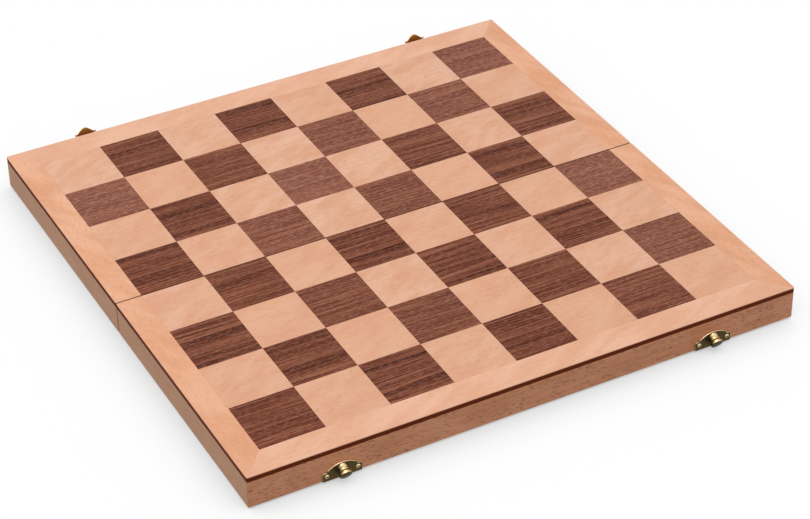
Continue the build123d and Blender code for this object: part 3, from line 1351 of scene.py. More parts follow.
def shaded(mesh: Mesh) -> Mesh:
    """Smooth a mesh, keep its creases and let its large faces stay flat.

    Args:
        mesh: The mesh, in metres.

    Returns:
        The shaded mesh.
    """
    mesh.shade_smooth()
    mesh.set_sharp_from_angle(angle=SMOOTH_ANGLE)
    holder = bpy.data.objects.new("shaded", mesh)
    holder.modifiers.new("weigh", "WEIGHTED_NORMAL").keep_sharp = True
    return plain_mesh(holder)


def publish(name: str, mesh: Mesh, finish: Finish, body: str, node: str) -> Object:
    """Scale a finished mesh to metres and hand it to the frame.

    Args:
        name: Name of the piece.
        mesh: Its mesh in millimetres, in its place.
        finish: Its finish.
        body: The body that it moves with.
        node: The frame's node that it stands for.

    Returns:
        The piece.
    """
    mesh = shaded(moved(mesh, Matrix.Scale(MM, 4)))
    mesh.name = name
    mesh.materials.clear()
    mesh.materials.append(finish.material())
    piece = bpy.data.objects.new(name, mesh)
    bpy.context.scene.collection.objects.link(piece)
    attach(piece, body)
    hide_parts(node)
    return piece


class Part(ABC):
    """A sub-assembly that builds its own pieces."""

    @abstractmethod
    def build(self) -> Pieces:
        """Make the pieces, one after another."""


# ---- Plan of a half ----


@dataclass(frozen=True)
class HalfPlan:
    """The rectangle of one half as seen from above, whose edges carry walls and border strips."""

    half: Half
    corner_radius: float = 1.0

    @property
    def room(self) -> Room:
        """Room of the half's panel, which fills the rectangle."""
        return Room.of(f"{self.half.body}_panel")

    def outline(self) -> list[Point]:
        """The whole rectangle with its rounded corners.

        Returns:
            Points of the outline.
        """
        room, radius = self.room, self.corner_radius
        corners = (
            (room.high.x - radius, room.high.y - radius, 0),
            (room.low.x + radius, room.high.y - radius, 90),
            (room.low.x + radius, room.low.y + radius, 180),
            (room.high.x - radius, room.low.y + radius, 270),
        )
        return [point for x, y, turn in corners for point in arc((x, y), radius, turn, turn + 90)]

    def strip(self, edge: Edge, depth: float, mitres: tuple[float, float]) -> list[Point]:
        """Outline of the mitred strip along one edge.

        Args:
            edge: The edge that it lies along.
            depth: Width of the strip.
            mitres: How far its inner edge falls short at its start and at its end.

        Returns:
            Points of the outline.
        """
        room, sign = self.room, self.half.sign
        seam, outer = sorted((room.low.y, room.high.y), key=abs)
        start, along, inward, length = {
            Edge.OUTER: ((room.low.x, outer), (1, 0), (0, -sign), room.size.x),
            Edge.SEAM: ((room.low.x, seam), (1, 0), (0, sign), room.size.x),
            Edge.LEFT: ((room.low.x, seam), (0, sign), (1, 0), room.size.y),
            Edge.RIGHT: ((room.high.x, seam), (0, sign), (-1, 0), room.size.y),
        }[edge]
        near, far = (self._corner(mitre, depth) for mitre in mitres)
        outer_side = [*near, *((length - u, v) for u, v in reversed(far))]
        inner_side = [(length - mitres[1], depth), (mitres[0], depth)]
        return [
            (start[0] + u * along[0] + v * inward[0], start[1] + u * along[1] + v * inward[1])
            for u, v in [*outer_side, *inner_side]
        ]

    def _corner(self, mitre: float, depth: float) -> list[Point]:
        """The part of a rounded corner that belongs to a strip.

        Args:
            mitre: How far the strip's inner edge falls short of the corner.
            depth: Width of the strip.

        Returns:
            Points from the mitre to the strip's outer edge.
        """
        radius = self.corner_radius
        reach = radius * (mitre + depth - sqrt(2 * mitre * depth)) / (mitre**2 + depth**2)
        angle = degrees(atan2(reach * depth - radius, reach * mitre - radius))
        return arc((radius, radius), radius, angle - 360 if angle > 0 else angle, -90)


# ---- Wooden parts ----


@dataclass(frozen=True)
class Tray(Part):
    """Four mitred walls under a panel, with recesses for the hinges in the seam wall."""

    plan: HalfPlan
    ease: float = 0.4
    panel_ease: float = 0.12
    leaf_play: float = 0.1
    barrel_play: float = 0.3

    def build(self) -> Pieces:
        """Make the walls and the panel.

        Returns:
            The pieces, one after another.
        """
        body, panel = self.plan.half.body, self.plan.room
        for edge in Edge:
            yield self._wall(body, edge)
        mesh = slab([self.plan.outline()], panel.size.z, self.panel_ease, panel.low.z)
        yield publish(f"{body}_board", mesh, StainedBoard(), body, f"{body}_panel")

    def _wall(self, body: str, edge: Edge) -> Object:
        """Make one wall.

        Args:
            body: The half's body.
            edge: The edge that the wall stands along.

        Returns:
            The piece.
        """
        node = f"{body}_wall_{edge.value}"
        room = Room.of(node)
        depth = room.size.y if edge.grain is Grain.ALONG_X else room.size.x
        mesh = slab([self.plan.strip(edge, depth, (depth, depth))], room.size.z, self.ease, room.low.z)
        if edge is Edge.SEAM:
            mesh = joined(mesh, self._recesses(body), Joining.CUT_AWAY)
        return publish(f"{body}_{edge.value}_wall", mesh, WALL_WOOD[edge.grain], body, node)

    def _recesses(self, body: str) -> list[Mesh]:
        """Cutters for the leaves and barrels of both hinges.

        Args:
            body: The half's body.

        Returns:
            Two blocks for each hinge.
        """
        sign, play = self.plan.half.sign, self.leaf_play
        cutters = []
        for end in End:
            leaf = Room.of(f"{body}_hinge_leaf_{end.value}")
            axis = Room.of(f"hinge_pin_{end.value}").centre.z
            reach = abs(leaf.high.y if sign > 0 else leaf.low.y) + play
            barrel = axis + self.barrel_play
            low, high = leaf.low.x - play, leaf.high.x + play
            for depth, top in ((reach, leaf.high.z), (barrel, axis + barrel)):
                cutters.append(block((low, -depth, -axis), (high, depth, top)))
        return cutters


class SquareField(GrowthGraph):
    """Geometry Nodes that lay the squares of one shade, each cut from another part of the veneer."""

    spread: float = 400.0
    tone_seed_step: int = 10

    def __init__(self) -> None:
        """Build the tree."""
        whole = dict.fromkeys(("Columns", "Rows", "Parity"), "NodeSocketInt")
        others = {"Tile": "NodeSocketObject", "Pitch": "NodeSocketFloat", "Middle": "NodeSocketVector"}
        super().__init__("square_field", {**whole, **others})
        kept = self._spots()
        sockets = {"Points": kept, "Instance": self.shape_of("Tile")}
        laid = self.node("GeometryNodeInstanceOnPoints", sockets=sockets)
        seed = self.given.out("Seed")
        cut = self.chance_vector(self.spread, seed)
        tone = self.chance_number(1.0, seed + self.tone_seed_step)
        for name, kind, value in ((CUT, "FLOAT_VECTOR", cut), (TONE, "FLOAT", tone)):
            settings = {"data_type": kind, "domain": "INSTANCE"}
            sockets = {"Geometry": laid, "Name": name, "Value": value}
            laid = self.node("GeometryNodeStoreNamedAttribute", settings, sockets)
        sockets = {"Geometry": laid, "Translation": self.given.out("Middle")}
        self.finish(self.node("GeometryNodeTransform", sockets=sockets))

    def _spots(self) -> Term:
        """Centres of the squares of one parity, about the origin.

        Returns:
            The points.
        """
        given = self.given
        columns, rows, pitch = given.out("Columns"), given.out("Rows"), given.out("Pitch")
        grid = self.node("GeometryNodeMeshGrid", sockets={
            "Size X": (columns - 1) * pitch,
            "Size Y": (rows - 1) * pitch,
            "Vertices X": columns,
            "Vertices Y": rows,
        })
        spots = self.node("GeometryNodeMeshToPoints", sockets={"Mesh": grid})
        parts = self.node("ShaderNodeSeparateXYZ", sockets={0: self.node("GeometryNodeInputPosition")})
        column = parts / pitch + (columns - 1) / 2
        row = parts.out("Y") / pitch + (rows - 1) / 2
        odd = (column + row).rounded() % 2
        other = abs(odd - given.out("Parity")) > 0.5
        return self.node("GeometryNodeDeleteGeometry", sockets={"Geometry": spots, "Selection": other})


@dataclass(frozen=True)
class PlayingSurface(Part):
    """The veneered top of a half: a mitred border round a field of squares."""

    plan: HalfPlan
    field: SquareField
    columns: int = 8
    rows: int = 4
    joint: float = 0.05
    ease: float = 0.06

    def build(self) -> Pieces:
        """Make the border strips and both shades of squares."""
        yield from self._border(self.plan.half.body)
        yield from self._squares(self.plan.half)

    def _border(self, body: str) -> Pieces:
        """Make the border strips.

        Args:
            body: The half's body.

        Returns:
            The pieces.
        """
        ends = Room.of(f"{body}_border_outer").size.y
        sides = Room.of(f"{body}_border_left").size.x
        strips = (
            (Edge.OUTER, ends, (sides, sides)),
            (Edge.LEFT, sides, (0, ends)),
            (Edge.RIGHT, sides, (0, ends)),
        )
        for edge, depth, mitres in strips:
            node = f"{body}_border_{edge.value}"
            room = Room.of(node)
            mesh = slab([self.plan.strip(edge, depth, mitres)], room.size.z, self.ease, room.low.z)
            yield publish(f"{body}_{edge.value}_border", mesh, BORDER_WOOD[edge.grain], body, node)

    def _squares(self, half: Half) -> Pieces:
        """Lay the squares.

        Args:
            half: The half.

        Returns:
            One piece for each shade.
        """
        body = half.body
        room = Room.of(f"{body}_squares_dark")
        pitch = (room.size.x + self.joint) / self.columns
        tile = self._tile(pitch - self.joint, room.size.z)
        for shade in Shade:
            colour, parity = shade.value
            finish = SQUARE_WOOD[shade]
            values = {
                "Tile": tile,
                "Columns": self.columns,
                "Rows": self.rows,
                "Pitch": pitch,
                "Parity": parity,
                "Middle": (room.centre.x, room.centre.y, room.low.z),
                "Seed": half.first_seed + parity,
                "Finish": finish.material(),
            }
            mesh = self.field.grow(bpy.data.meshes.new("field"), values)
            yield publish(f"{body}_{colour}_squares", mesh, finish, body, f"{body}_squares_{colour}")
        bpy.data.objects.remove(tile)

    def _tile(self, side: float, height: float) -> Object:
        """One veneer square with lightly eased rims, centred on the origin.

        Args:
            side: Side of the square.
            height: Its thickness.

        Returns:
            The tile, outside the scene.
        """
        half = side / 2
        corners = [(-half, -half), (half, -half), (half, half), (-half, half)]
        return bpy.data.objects.new("tile", slab([corners], height, self.ease))


@dataclass(frozen=True)
class FeltLining(Part):
    """Felt glued to the panel between the walls, slightly uneven as pressed wool is."""

    half: Half
    cell: float = 3.5
    relief: float = 0.18
    relief_length: float = 22.0
    rim_fall: float = 0.35

    def build(self) -> Pieces:
        """Make the felt.

        Returns:
            The one piece.
        """
        body = self.half.body
        room = Room.of(f"{body}_lining")

        def press(shape: Shape) -> None:
            """Lay the uneven lower face and close it against the panel.

            Args:
                shape: The mesh's editable form.
            """
            grid = [[shape.verts.new(spot) for spot in line] for line in self._lower_face(room)]
            for lower, upper in zip(grid, grid[1:]):
                for corners in zip(lower, upper, upper[1:], lower[1:]):
                    shape.faces.new(corners)
            rim = [edge for edge in shape.edges if edge.is_boundary]
            raised = bmesh.ops.extrude_edge_only(shape, edges=rim)["geom"]
            for part in raised:
                if isinstance(part, bmesh.types.BMVert):
                    part.co.z = room.high.z
            close_rim(shape)

        mesh = welded(bpy.data.meshes.new("felt"), press)
        piece = publish(f"{body}_felt", mesh, Felt(), body, f"{body}_lining")
        yield piece

    def _lower_face(self, room: Room) -> Iterator[list[Vector]]:
        """Rows of points on the felt's lower face, which rises at its rim.

        Args:
            room: Room of the felt.

        Returns:
            The points of each row.
        """
        columns, rows = (max(2, round(side / self.cell)) for side in room.size.xy)
        for row in range(rows + 1):
            line = []
            for column in range(columns + 1):
                x = room.low.x + room.size.x * column / columns
                y = room.low.y + room.size.y * row / rows
                wave = noise.noise(Vector((x, y, 0)) / self.relief_length)
                inside = 0 < column < columns and 0 < row < rows
                lift = self.relief * (1 + wave) / 2 if inside else self.rim_fall
                line.append(Vector((x, y, room.low.z + lift)))
            yield line


# ---- Metal parts ----


def wall_seat(half: Half, x: float, height: float = 0.0, out: float = 0.0) -> Matrix:
    """Placement on a half's outer wall: local +X along it, +Y up and +Z outwards.

    Args:
        half: The half.
        x: Place along the seam direction.
        height: Height above the rim.
        out: Distance outwards from the wall.

    Returns:
        The placement.
    """
    wall = Room.of(f"{half.body}_wall_outer")
    face = wall.low.y if half is Half.BASE else wall.high.y
    turn = Matrix(((-half.sign, 0, 0), (0, 0, half.sign), (0, 1, 0))).to_4x4()
    return shift(x, face + half.sign * out, wall.low.z + height) @ turn


@dataclass(frozen=True)
class HalfMoon:
    """A stamped half-moon plate with an ear at each end and a bead along its arc."""

    width: float = 27.2
    height: float = 11.6
    thickness: float = 0.9
    ear_width: float = 3.2
    ear_height: float = 6.5
    ear_radius: float = 1.2
    ear_steps: int = 5
    arc_foot: float = 7.8
    arc_steps: int = 28
    bead_width: float = 1.0
    bead_rise: float = 0.42
    ease: float = 0.16
    neck: float = 0.3
    screw_spacing: float = 21.2
    screw_height: float = 3.8

    def mesh(self) -> Mesh:
        """The plate on its wall's plane.

        Returns:
            The mesh.
        """
        foot = self.width / 2 - self.ear_width
        rise = self.height - self.arc_foot
        radius = (foot**2 + rise**2) / (2 * rise)
        middle = (0.0, self.height - radius)
        lean = degrees(atan2(self.arc_foot - middle[1], foot))
        corners = [
            (0.0, 0.0),
            (self.width / 2, 0.0),
            (self.width / 2, self.ear_height),
            (foot, self.ear_height),
            (foot, self.arc_foot),
        ]
        side = eased(corners, (self.neck, self.ear_radius, self.neck), self.ear_steps)[1:]
        top = arc(middle, radius, lean, 180 - lean, self.arc_steps)
        inner = arc(middle, radius - self.bead_width, 180 - lean, lean, self.arc_steps)
        plate = slab([[*side, *top, *mirrored(side)]], self.thickness, self.ease)
        bead = slab([[*top, *inner]], self.thickness + self.bead_rise, self.bead_rise)
        return joined(plate, [bead], Joining.UNITE)


@dataclass(frozen=True)
class KnobLatch(Part):
    """A half-moon plate with a turned knob that leans towards the rim."""

    end: End
    plate: HalfMoon = HalfMoon()
    knob_height: float = 7.0
    lean: float = 27.0
    rivet_radius: float = 1.2
    rivet_rise: float = 0.4
    rivet_ease: float = 0.05
    foot_radius: float = 3.4
    neck_radius: float = 3.1
    neck_length: float = 1.9
    neck_start: float = 1.045
    ring_radius: float = 3.7
    ring_length: float = 0.9
    waist_radius: float = 3.35
    waist_length: float = 0.2
    flare_radius: float = 3.87
    flare_length: float = 0.5
    head_radius: float = 4.3
    head_length: float = 2.4
    head_swell: float = 1.32
    dome_radius: float = 2.365
    dome_shoulder: float = 0.45
    dome_height: float = 0.6
    rounding: tuple[float, ...] = (0.1, 0.5, 0.1, 0.3, 0.3, 0.1, 0.1, 0.3, 0.5, 0.5, 0.9)

    def build(self) -> Pieces:
        """Make the plate and the knob.

        Returns:
            The pieces, one after another.
        """
        side, body = self.end.value, Half.BASE.body
        node = f"knob_plate_{side}"
        seat = wall_seat(Half.BASE, Room.of(node).centre.x)
        plate = moved(self.plate.mesh(), seat)
        yield publish(f"{side}_knob_plate", plate, PLATE_BRASS, body, node)
        knob = moved(self._knob(), seat)
        yield publish(f"{side}_turned_knob", knob, KNOB_BRASS, body, f"knob_{side}")

    def _profile(self) -> list[Point]:
        """The knob's outline along its own axis.

        Returns:
            Points from inside the plate to the top of the dome.
        """
        ring = self.neck_length + self.ring_length
        head = ring + self.flare_length
        top = head + self.head_length
        corners = [
            (self.foot_radius, -self.foot_radius),
            (self.foot_radius, 0.0),
            (self.neck_radius, self.neck_start),
            (self.neck_radius, self.neck_length),
            (self.ring_radius, self.neck_length),
            (self.ring_radius, ring),
            (self.waist_radius, ring),
            (self.waist_radius, ring + self.waist_length),
            (self.flare_radius, head),
            (self.head_radius, head + self.head_swell),
            (self.head_radius, top),
            (self.dome_radius, top + self.dome_shoulder),
            (0.0, top + self.dome_height),
        ]
        return [(0.0, -self.foot_radius), *eased(corners, self.rounding, BRASS_RIM_STEPS)]

    def _knob(self) -> Mesh:
        """The knob with its rivet, its foot cut along the plate.

        Returns:
            The mesh on its wall's plane.
        """
        face = self.plate.thickness
        tilt = Matrix.Rotation(radians(self.lean), 4, "X")
        mesh = moved(turned(self._profile()), shift(0, self.knob_height, face), tilt)

        def trim(shape: Shape) -> None:
            """Cut away what lies behind the plate's face and close the cut.

            Args:
                shape: The mesh's editable form.
            """
            everything = [*shape.verts, *shape.edges, *shape.faces]
            bmesh.ops.bisect_plane(
                shape, geom=everything, plane_co=(0, 0, face), plane_no=(0, 0, 1), clear_inner=True
            )
            close_rim(shape)

        hole = circle((0, self.knob_height), self.rivet_radius)
        rivet = slab([hole], face + self.rivet_rise, self.rivet_ease)
        return joined(welded(mesh, trim), [rivet], Joining.UNITE)


@dataclass(frozen=True)
class Hasp:
    """A tongue with a ringed hole, curled round its pin at the root and pointed at the tip.

    Outlines keep a small stand-off where two solids would otherwise share a plane.
    """

    barrel_radius: float = 1.3
    knuckle: float = 6.6
    gap: float = 0.3
    bore: float = 0.55
    thickness: float = 0.8
    ease: float = 0.2
    stand_off: float = 0.02
    length: float = 22.9
    root_width: float = 11.6
    root_notch: float = 0.15
    root_pull: Point = (0.7, 2.2)
    cheek_pulls: Range = (2.4, 3.2)
    waist_width: float = 10.4
    waist_pulls: Range = (1.6, 1.0)
    shoulder_width: float = 14.4
    shoulder_pull: Point = (0.5, 1.0)
    hole_centre: float = 7.926
    hole_radius: float = 4.651
    hole_rim: float = 2.1
    ring_width: float = 0.8
    ring_rise: float = 0.35
    ring_foot: float = 0.06
    ring_ease: float = 0.3
    tip_height: float = 4.3
    tip_pull: float = 1.5
    tip_round: float = 2.9
    tip_steps: int = 16
    bead_radius: float = 0.75
    bead_rounding: tuple[float, float] = (0.2, 0.45)

    @property
    def shoulder(self) -> float:
        """Height of the shoulders above the pin."""
        return self.length - self.tip_height

    def mesh(self) -> Mesh:
        """The hasp about its own pin.

        Returns:
            The mesh, with +Y along the tongue and +Z on its outer side.
        """
        under = -self.thickness / 2
        centre = (0, self.hole_centre)
        opening, buried, rim = (
            circle(centre, self.hole_radius + share * self.ring_width, 2 * ROUND_STEPS)
            for share in (0.0, 0.5, 1.0)
        )
        tongue = slab([self._outline(), buried], self.thickness, self.ease, under)
        ring_height = self.thickness + self.ring_rise + self.ring_foot
        ring = slab([rim, opening], ring_height, self.ring_ease, under - self.ring_foot)
        half = self.shoulder_width / 2
        beads = [
            moved(turned(self._bead(), SMALL_TURNED_STEPS), shift(side, self.shoulder))
            for side in (-half, half)
        ]
        barrel = rod(self.barrel_radius, self.knuckle, self.ease)
        solid = joined(tongue, [ring, *beads, barrel], Joining.UNITE)
        return joined(solid, [rod(self.bore, self.knuckle + 2 * OVERSHOOT)], Joining.CUT_AWAY)

    def _outline(self) -> list[Point]:
        """The tongue's outline: a notched root, cheeks round the hole, a waist, shoulders and a tip.

        Returns:
            Points of the outline.
        """
        root = self.barrel_radius + self.gap
        stem = self.knuckle / 2 - self.stand_off
        foot, half, neck = self.root_width / 2, self.shoulder_width / 2, self.waist_width / 2
        cheek = self.hole_radius + self.hole_rim
        waist = (self.hole_centre + cheek + self.shoulder) / 2
        below, above = self.cheek_pulls
        before, after = self.waist_pulls
        leaving = (foot + self.root_pull[0], root + self.root_pull[1])
        arriving = (half - self.shoulder_pull[0], self.shoulder - self.shoulder_pull[1])
        widest, narrowest = (cheek, self.hole_centre), (neck, waist)
        corner, tip = (half, self.shoulder), (0.0, self.length)
        lower = bezier((foot, root), leaving, (cheek, self.hole_centre - below), widest)
        upper = bezier(widest, (cheek, self.hole_centre + above), (neck, waist - before), narrowest)
        flare = bezier(narrowest, (neck, waist + after), arriving, corner)
        pull, lead = (half - self.tip_pull, self.shoulder), (self.tip_round, self.length)
        ogee = bezier(corner, pull, lead, tip, self.tip_steps)
        notch = [(stem, 0.0), (stem, root - self.root_notch)]
        side = [*notch, *lower, *upper[1:], *flare[1:], *ogee[1:]]
        return [*side, *mirrored(side[:-1])]

    def _bead(self) -> list[Point]:
        """Profile of the round bead at each shoulder.

        Returns:
            Points of (radius, height) from the lower pole to the upper one.
        """
        low, high = -self.thickness / 2 - self.stand_off, self.thickness / 2 + self.ring_rise
        corners = [(0, low), (self.bead_radius, low), (self.bead_radius, high), (0, high)]
        return eased(corners, self.bead_rounding, BRASS_RIM_STEPS)


@dataclass(frozen=True)
class HaspLatch(Part):
    """A half-moon plate with a hasp that swings on a pin between its two knuckles."""

    end: End
    plate: HalfMoon = HalfMoon()
    hasp: Hasp = Hasp()
    rest_angle: float = 162.0
    axis_out: float = 2.0
    axis_height: float = 1.9
    barrel_length: float = 15.0
    web_foot: float = 0.2
    pin_ease: float = 0.12

    def build(self) -> Pieces:
        """Make the plate, the pin and the hasp.

        Returns:
            The pieces, one after another.
        """
        side, body = self.end.value, Half.LID.body
        pin = Room.of(f"hasp_pin_{side}")
        seat = wall_seat(Half.LID, pin.centre.x)
        plate = moved(self._plate(), seat)
        yield publish(f"{side}_hasp_plate", plate, PLATE_BRASS, body, f"hasp_plate_{side}")
        bar = moved(rod(pin.size.y / 2, pin.size.x, self.pin_ease), shift(*pin.centre))
        yield publish(f"{side}_hasp_pin", bar, PLATE_BRASS, body, f"hasp_pin_{side}")
        swing = radians(self.rest_angle)
        turn = Matrix(((1, 0, 0), (0, sin(swing), cos(swing)), (0, -cos(swing), sin(swing))))
        hasp = moved(self.hasp.mesh(), shift(*pin.centre) @ turn.to_4x4())
        yield publish(f"{side}_swing_hasp", hasp, HASP_BRASS, f"hasp_{side}", f"hasp_{side}")

    def _plate(self) -> Mesh:
        """The plate with its two knuckles.

        Returns:
            The mesh on its wall's plane.
        """
        hasp, off = self.hasp, self.hasp.stand_off
        inner, outer = hasp.knuckle / 2 + hasp.gap, self.barrel_length / 2
        under = self.axis_height - hasp.barrel_radius + off
        solids = []
        for side in (-1, 1):
            low, high = sorted((side * inner, side * outer))
            foot = (low + hasp.ease, under, self.web_foot)
            web = block(foot, (high - hasp.ease, self.axis_height, self.axis_out))
            tube = rod(hasp.barrel_radius, outer - inner, hasp.ease)
            solids += [web, moved(tube, shift((low + high) / 2, self.axis_height, self.axis_out))]
        mesh = joined(self.plate.mesh(), solids, Joining.UNITE)
        top = self.axis_height + hasp.barrel_radius + hasp.gap
        slot_end = (inner - off, top, self.plate.thickness + OVERSHOOT)
        slot = block((off - inner, -OVERSHOOT, -OVERSHOOT), slot_end)
        bore = rod(hasp.bore, self.barrel_length + 2 * OVERSHOOT)
        bore = moved(bore, shift(0, self.axis_height, self.axis_out))
        return joined(mesh, [slot, bore], Joining.CUT_AWAY)


@dataclass(frozen=True)
class SeamHinge(Part):
    """A butt hinge let into both rims: two leaves with knuckles on one pin."""

    end: End
    ease: float = 0.12
    pin_ease: float = 0.15
    gap: float = 0.3
    bore: float = 0.65
    head_radius: float = 1.55
    head_play: float = 0.05
    shank_radius: float = 0.85
    hole_depth: float = 3.0

    def build(self) -> Pieces:
        """Make both leaves and the pin.

        Returns:
            The pieces, one after another.
        """
        side = self.end.value
        pin = Room.of(f"hinge_pin_{side}")
        for half in Half:
            node = f"{half.body}_hinge_leaf_{side}"
            mesh = moved(self._leaf(half, Room.of(node), pin), shift(pin.centre.x))
            yield publish(f"{half.body}_{side}_leaf", mesh, HINGE_BRASS, half.body, node)
        bar = moved(rod(pin.size.y / 2, pin.size.x, self.pin_ease), shift(*pin.centre))
        yield publish(f"{side}_hinge_pin", bar, HINGE_BRASS, Half.BASE.body, f"hinge_pin_{side}")

    def _spans(self, half: Half, length: float) -> list[Range]:
        """Spans of a leaf's knuckles: one in the middle on the lid, two outside on the base.

        Args:
            half: The half that the leaf is on.
            length: Length of the hinge.

        Returns:
            Start and end of each knuckle.
        """
        third = (length - 2 * self.gap) / 3
        if half is Half.LID:
            return [(-third / 2, third / 2)]
        return [(-length / 2, -third / 2 - self.gap), (third / 2 + self.gap, length / 2)]

    def _leaf(self, half: Half, leaf: Room, pin: Room) -> Mesh:
        """One leaf about the middle of its hinge.

        Args:
            half: The half that it is on.
            leaf: Its room.
            pin: Room of the pin.

        Returns:
            The mesh.
        """
        length, axis = leaf.size.x, pin.centre.z
        radius = axis - leaf.low.z
        rim = Room.of(f"{half.body}_wall_seam").low.z
        reach = leaf.high.y if half.sign > 0 else leaf.low.y
        corners = [(-length / 2, 0), (length / 2, 0), (length / 2, reach), (-length / 2, reach)]
        mesh = slab([corners], leaf.high.z - rim, self.ease, rim)
        barrels = [
            moved(rod(radius, stop - start, self.ease), shift((start + stop) / 2, 0, axis))
            for start, stop in self._spans(half, length)
        ]
        deep, top = radius + self.gap, leaf.high.z + OVERSHOOT
        notches = [
            block((start - self.gap, -deep, -OVERSHOOT), (stop + self.gap, deep, top))
            for start, stop in self._spans(half.other, length)
        ]
        mesh = joined(joined(mesh, notches, Joining.CUT_AWAY), barrels, Joining.UNITE)
        bore = moved(rod(self.bore, length + 2 * OVERSHOOT), shift(z=axis))
        return joined(mesh, [*self._screw_holes(half, pin, rim), bore], Joining.CUT_AWAY)

    def _screw_holes(self, half: Half, pin: Room, rim: float) -> list[Mesh]:
        """Cutters for a leaf's two countersunk holes.

        Args:
            half: The half that the leaf is on.
            pin: Room of the pin.
            rim: Height of the rim that the leaf is let into.

        Returns:
            A turned solid for each hole, about the middle of the hinge.
        """
        screws = Room.of(f"{half.body}_hinge_screws")
        spacing = screws.size.x - 2 * abs(pin.centre.x) - 2 * (self.head_radius - self.head_play)
        profile = [
            (0, -OVERSHOOT),
            (self.head_radius, -OVERSHOOT),
            (self.head_radius, 0),
            (self.shank_radius, self.head_radius - self.shank_radius),
            (self.shank_radius, self.hole_depth),
            (0, self.hole_depth),
        ]
        return [
            moved(turned(profile, SMALL_TURNED_STEPS), shift(side * spacing, screws.centre.y, rim))
            for side in (-0.5, 0.5)
        ]


class ScrewSet(GrowthGraph):
    """Geometry Nodes that set one screw at each of a half's seats, each turned by chance."""

    quarter_turn: float = pi / 2

    def __init__(self) -> None:
        """Build the tree."""
        super().__init__("screw_set", {"Screw": "NodeSocketObject", "Aim": "NodeSocketVector"})
        given = self.given
        seats = self.node("GeometryNodeMeshToPoints", sockets={"Mesh": given.out("Geometry")})
        sockets = {"Points": seats, "Instance": self.shape_of("Screw"), "Rotation": given.out("Aim")}
        driven = self.node("GeometryNodeInstanceOnPoints", sockets=sockets)
        chance = self.chance_number(self.quarter_turn, given.out("Seed"))
        spin = self.node("ShaderNodeCombineXYZ", sockets={"Z": chance})
        sockets = {"Instances": driven, "Rotation": spin, "Local Space": True}
        self.finish(self.node("GeometryNodeRotateInstances", sockets=sockets))


@dataclass(frozen=True)
class WoodScrew(ABC):
    """A cross-head wood screw."""

    head_radius: float
    length: float
    head_rise: float = 0.0
    shank_radius: float = 0.8
    tip_length: float = 2.0
    tip_radius: float = 0.15
    cross_width: float = 0.55
    cross_depth: float = 0.5
    cross_span: float = 0.74

    @abstractmethod
    def head(self) -> list[Point]:
        """Profile of the head, from the shank to the middle of its top."""

    def make(self) -> Object:
        """The screw with its head's seat at the origin and its tip down.

        Returns:
            The screw, outside the scene.
        """
        tip = (self.tip_radius, -self.length)
        shank = [(0, -self.length), tip, (self.shank_radius, self.tip_length - self.length)]
        mesh = turned([*shank, *self.head()], ROUND_STEPS)
        floor, top = self.head_rise - self.cross_depth, self.head_rise + OVERSHOOT
        reach, width = self.head_radius * self.cross_span, self.cross_width / 2
        along, across = (
            block((-x, -y, floor), (x, y, top)) for x, y in ((reach, width), (width, reach))
        )
        cross = joined(along, [across], Joining.UNITE)
        return bpy.data.objects.new("screw", joined(mesh, [cross], Joining.CUT_AWAY))


@dataclass(frozen=True)
class RaisedScrew(WoodScrew):
    """A screw whose domed head stands on the plate."""

    head_radius: float = 1.7
    length: float = 6.4
    head_rise: float = 0.9
    rim_rise: float = 0.3
    crown_radius: float = 1.19
    crown_rise: float = 0.738
    rounding: tuple[float, float, float] = (0.08, 0.16, 0.5)

    def head(self) -> list[Point]:
        """Profile of the head.

        Returns:
            Points from the shank to the middle of its top.
        """
        corners = [
            (self.shank_radius, 0),
            (self.head_radius, 0),
            (self.head_radius, self.rim_rise),
            (self.crown_radius, self.crown_rise),
            (0, self.head_rise),
        ]
        return eased(corners, self.rounding, BRASS_RIM_STEPS)


@dataclass(frozen=True)
class CountersunkScrew(WoodScrew):
    """A screw whose flat head lies flush in its hole."""

    head_radius: float = 1.5
    length: float = 9.0
    chamfer: Point = (0.06, 0.05)

    def head(self) -> list[Point]:
        """Profile of the head.

        Returns:
            Points from the shank to the middle of its top.
        """
        in_from_rim, below_top = self.chamfer
        return [
            (self.shank_radius, self.shank_radius - self.head_radius),
            (self.head_radius, -below_top),
            (self.head_radius - in_from_rim, 0),
            (0, 0),
        ]


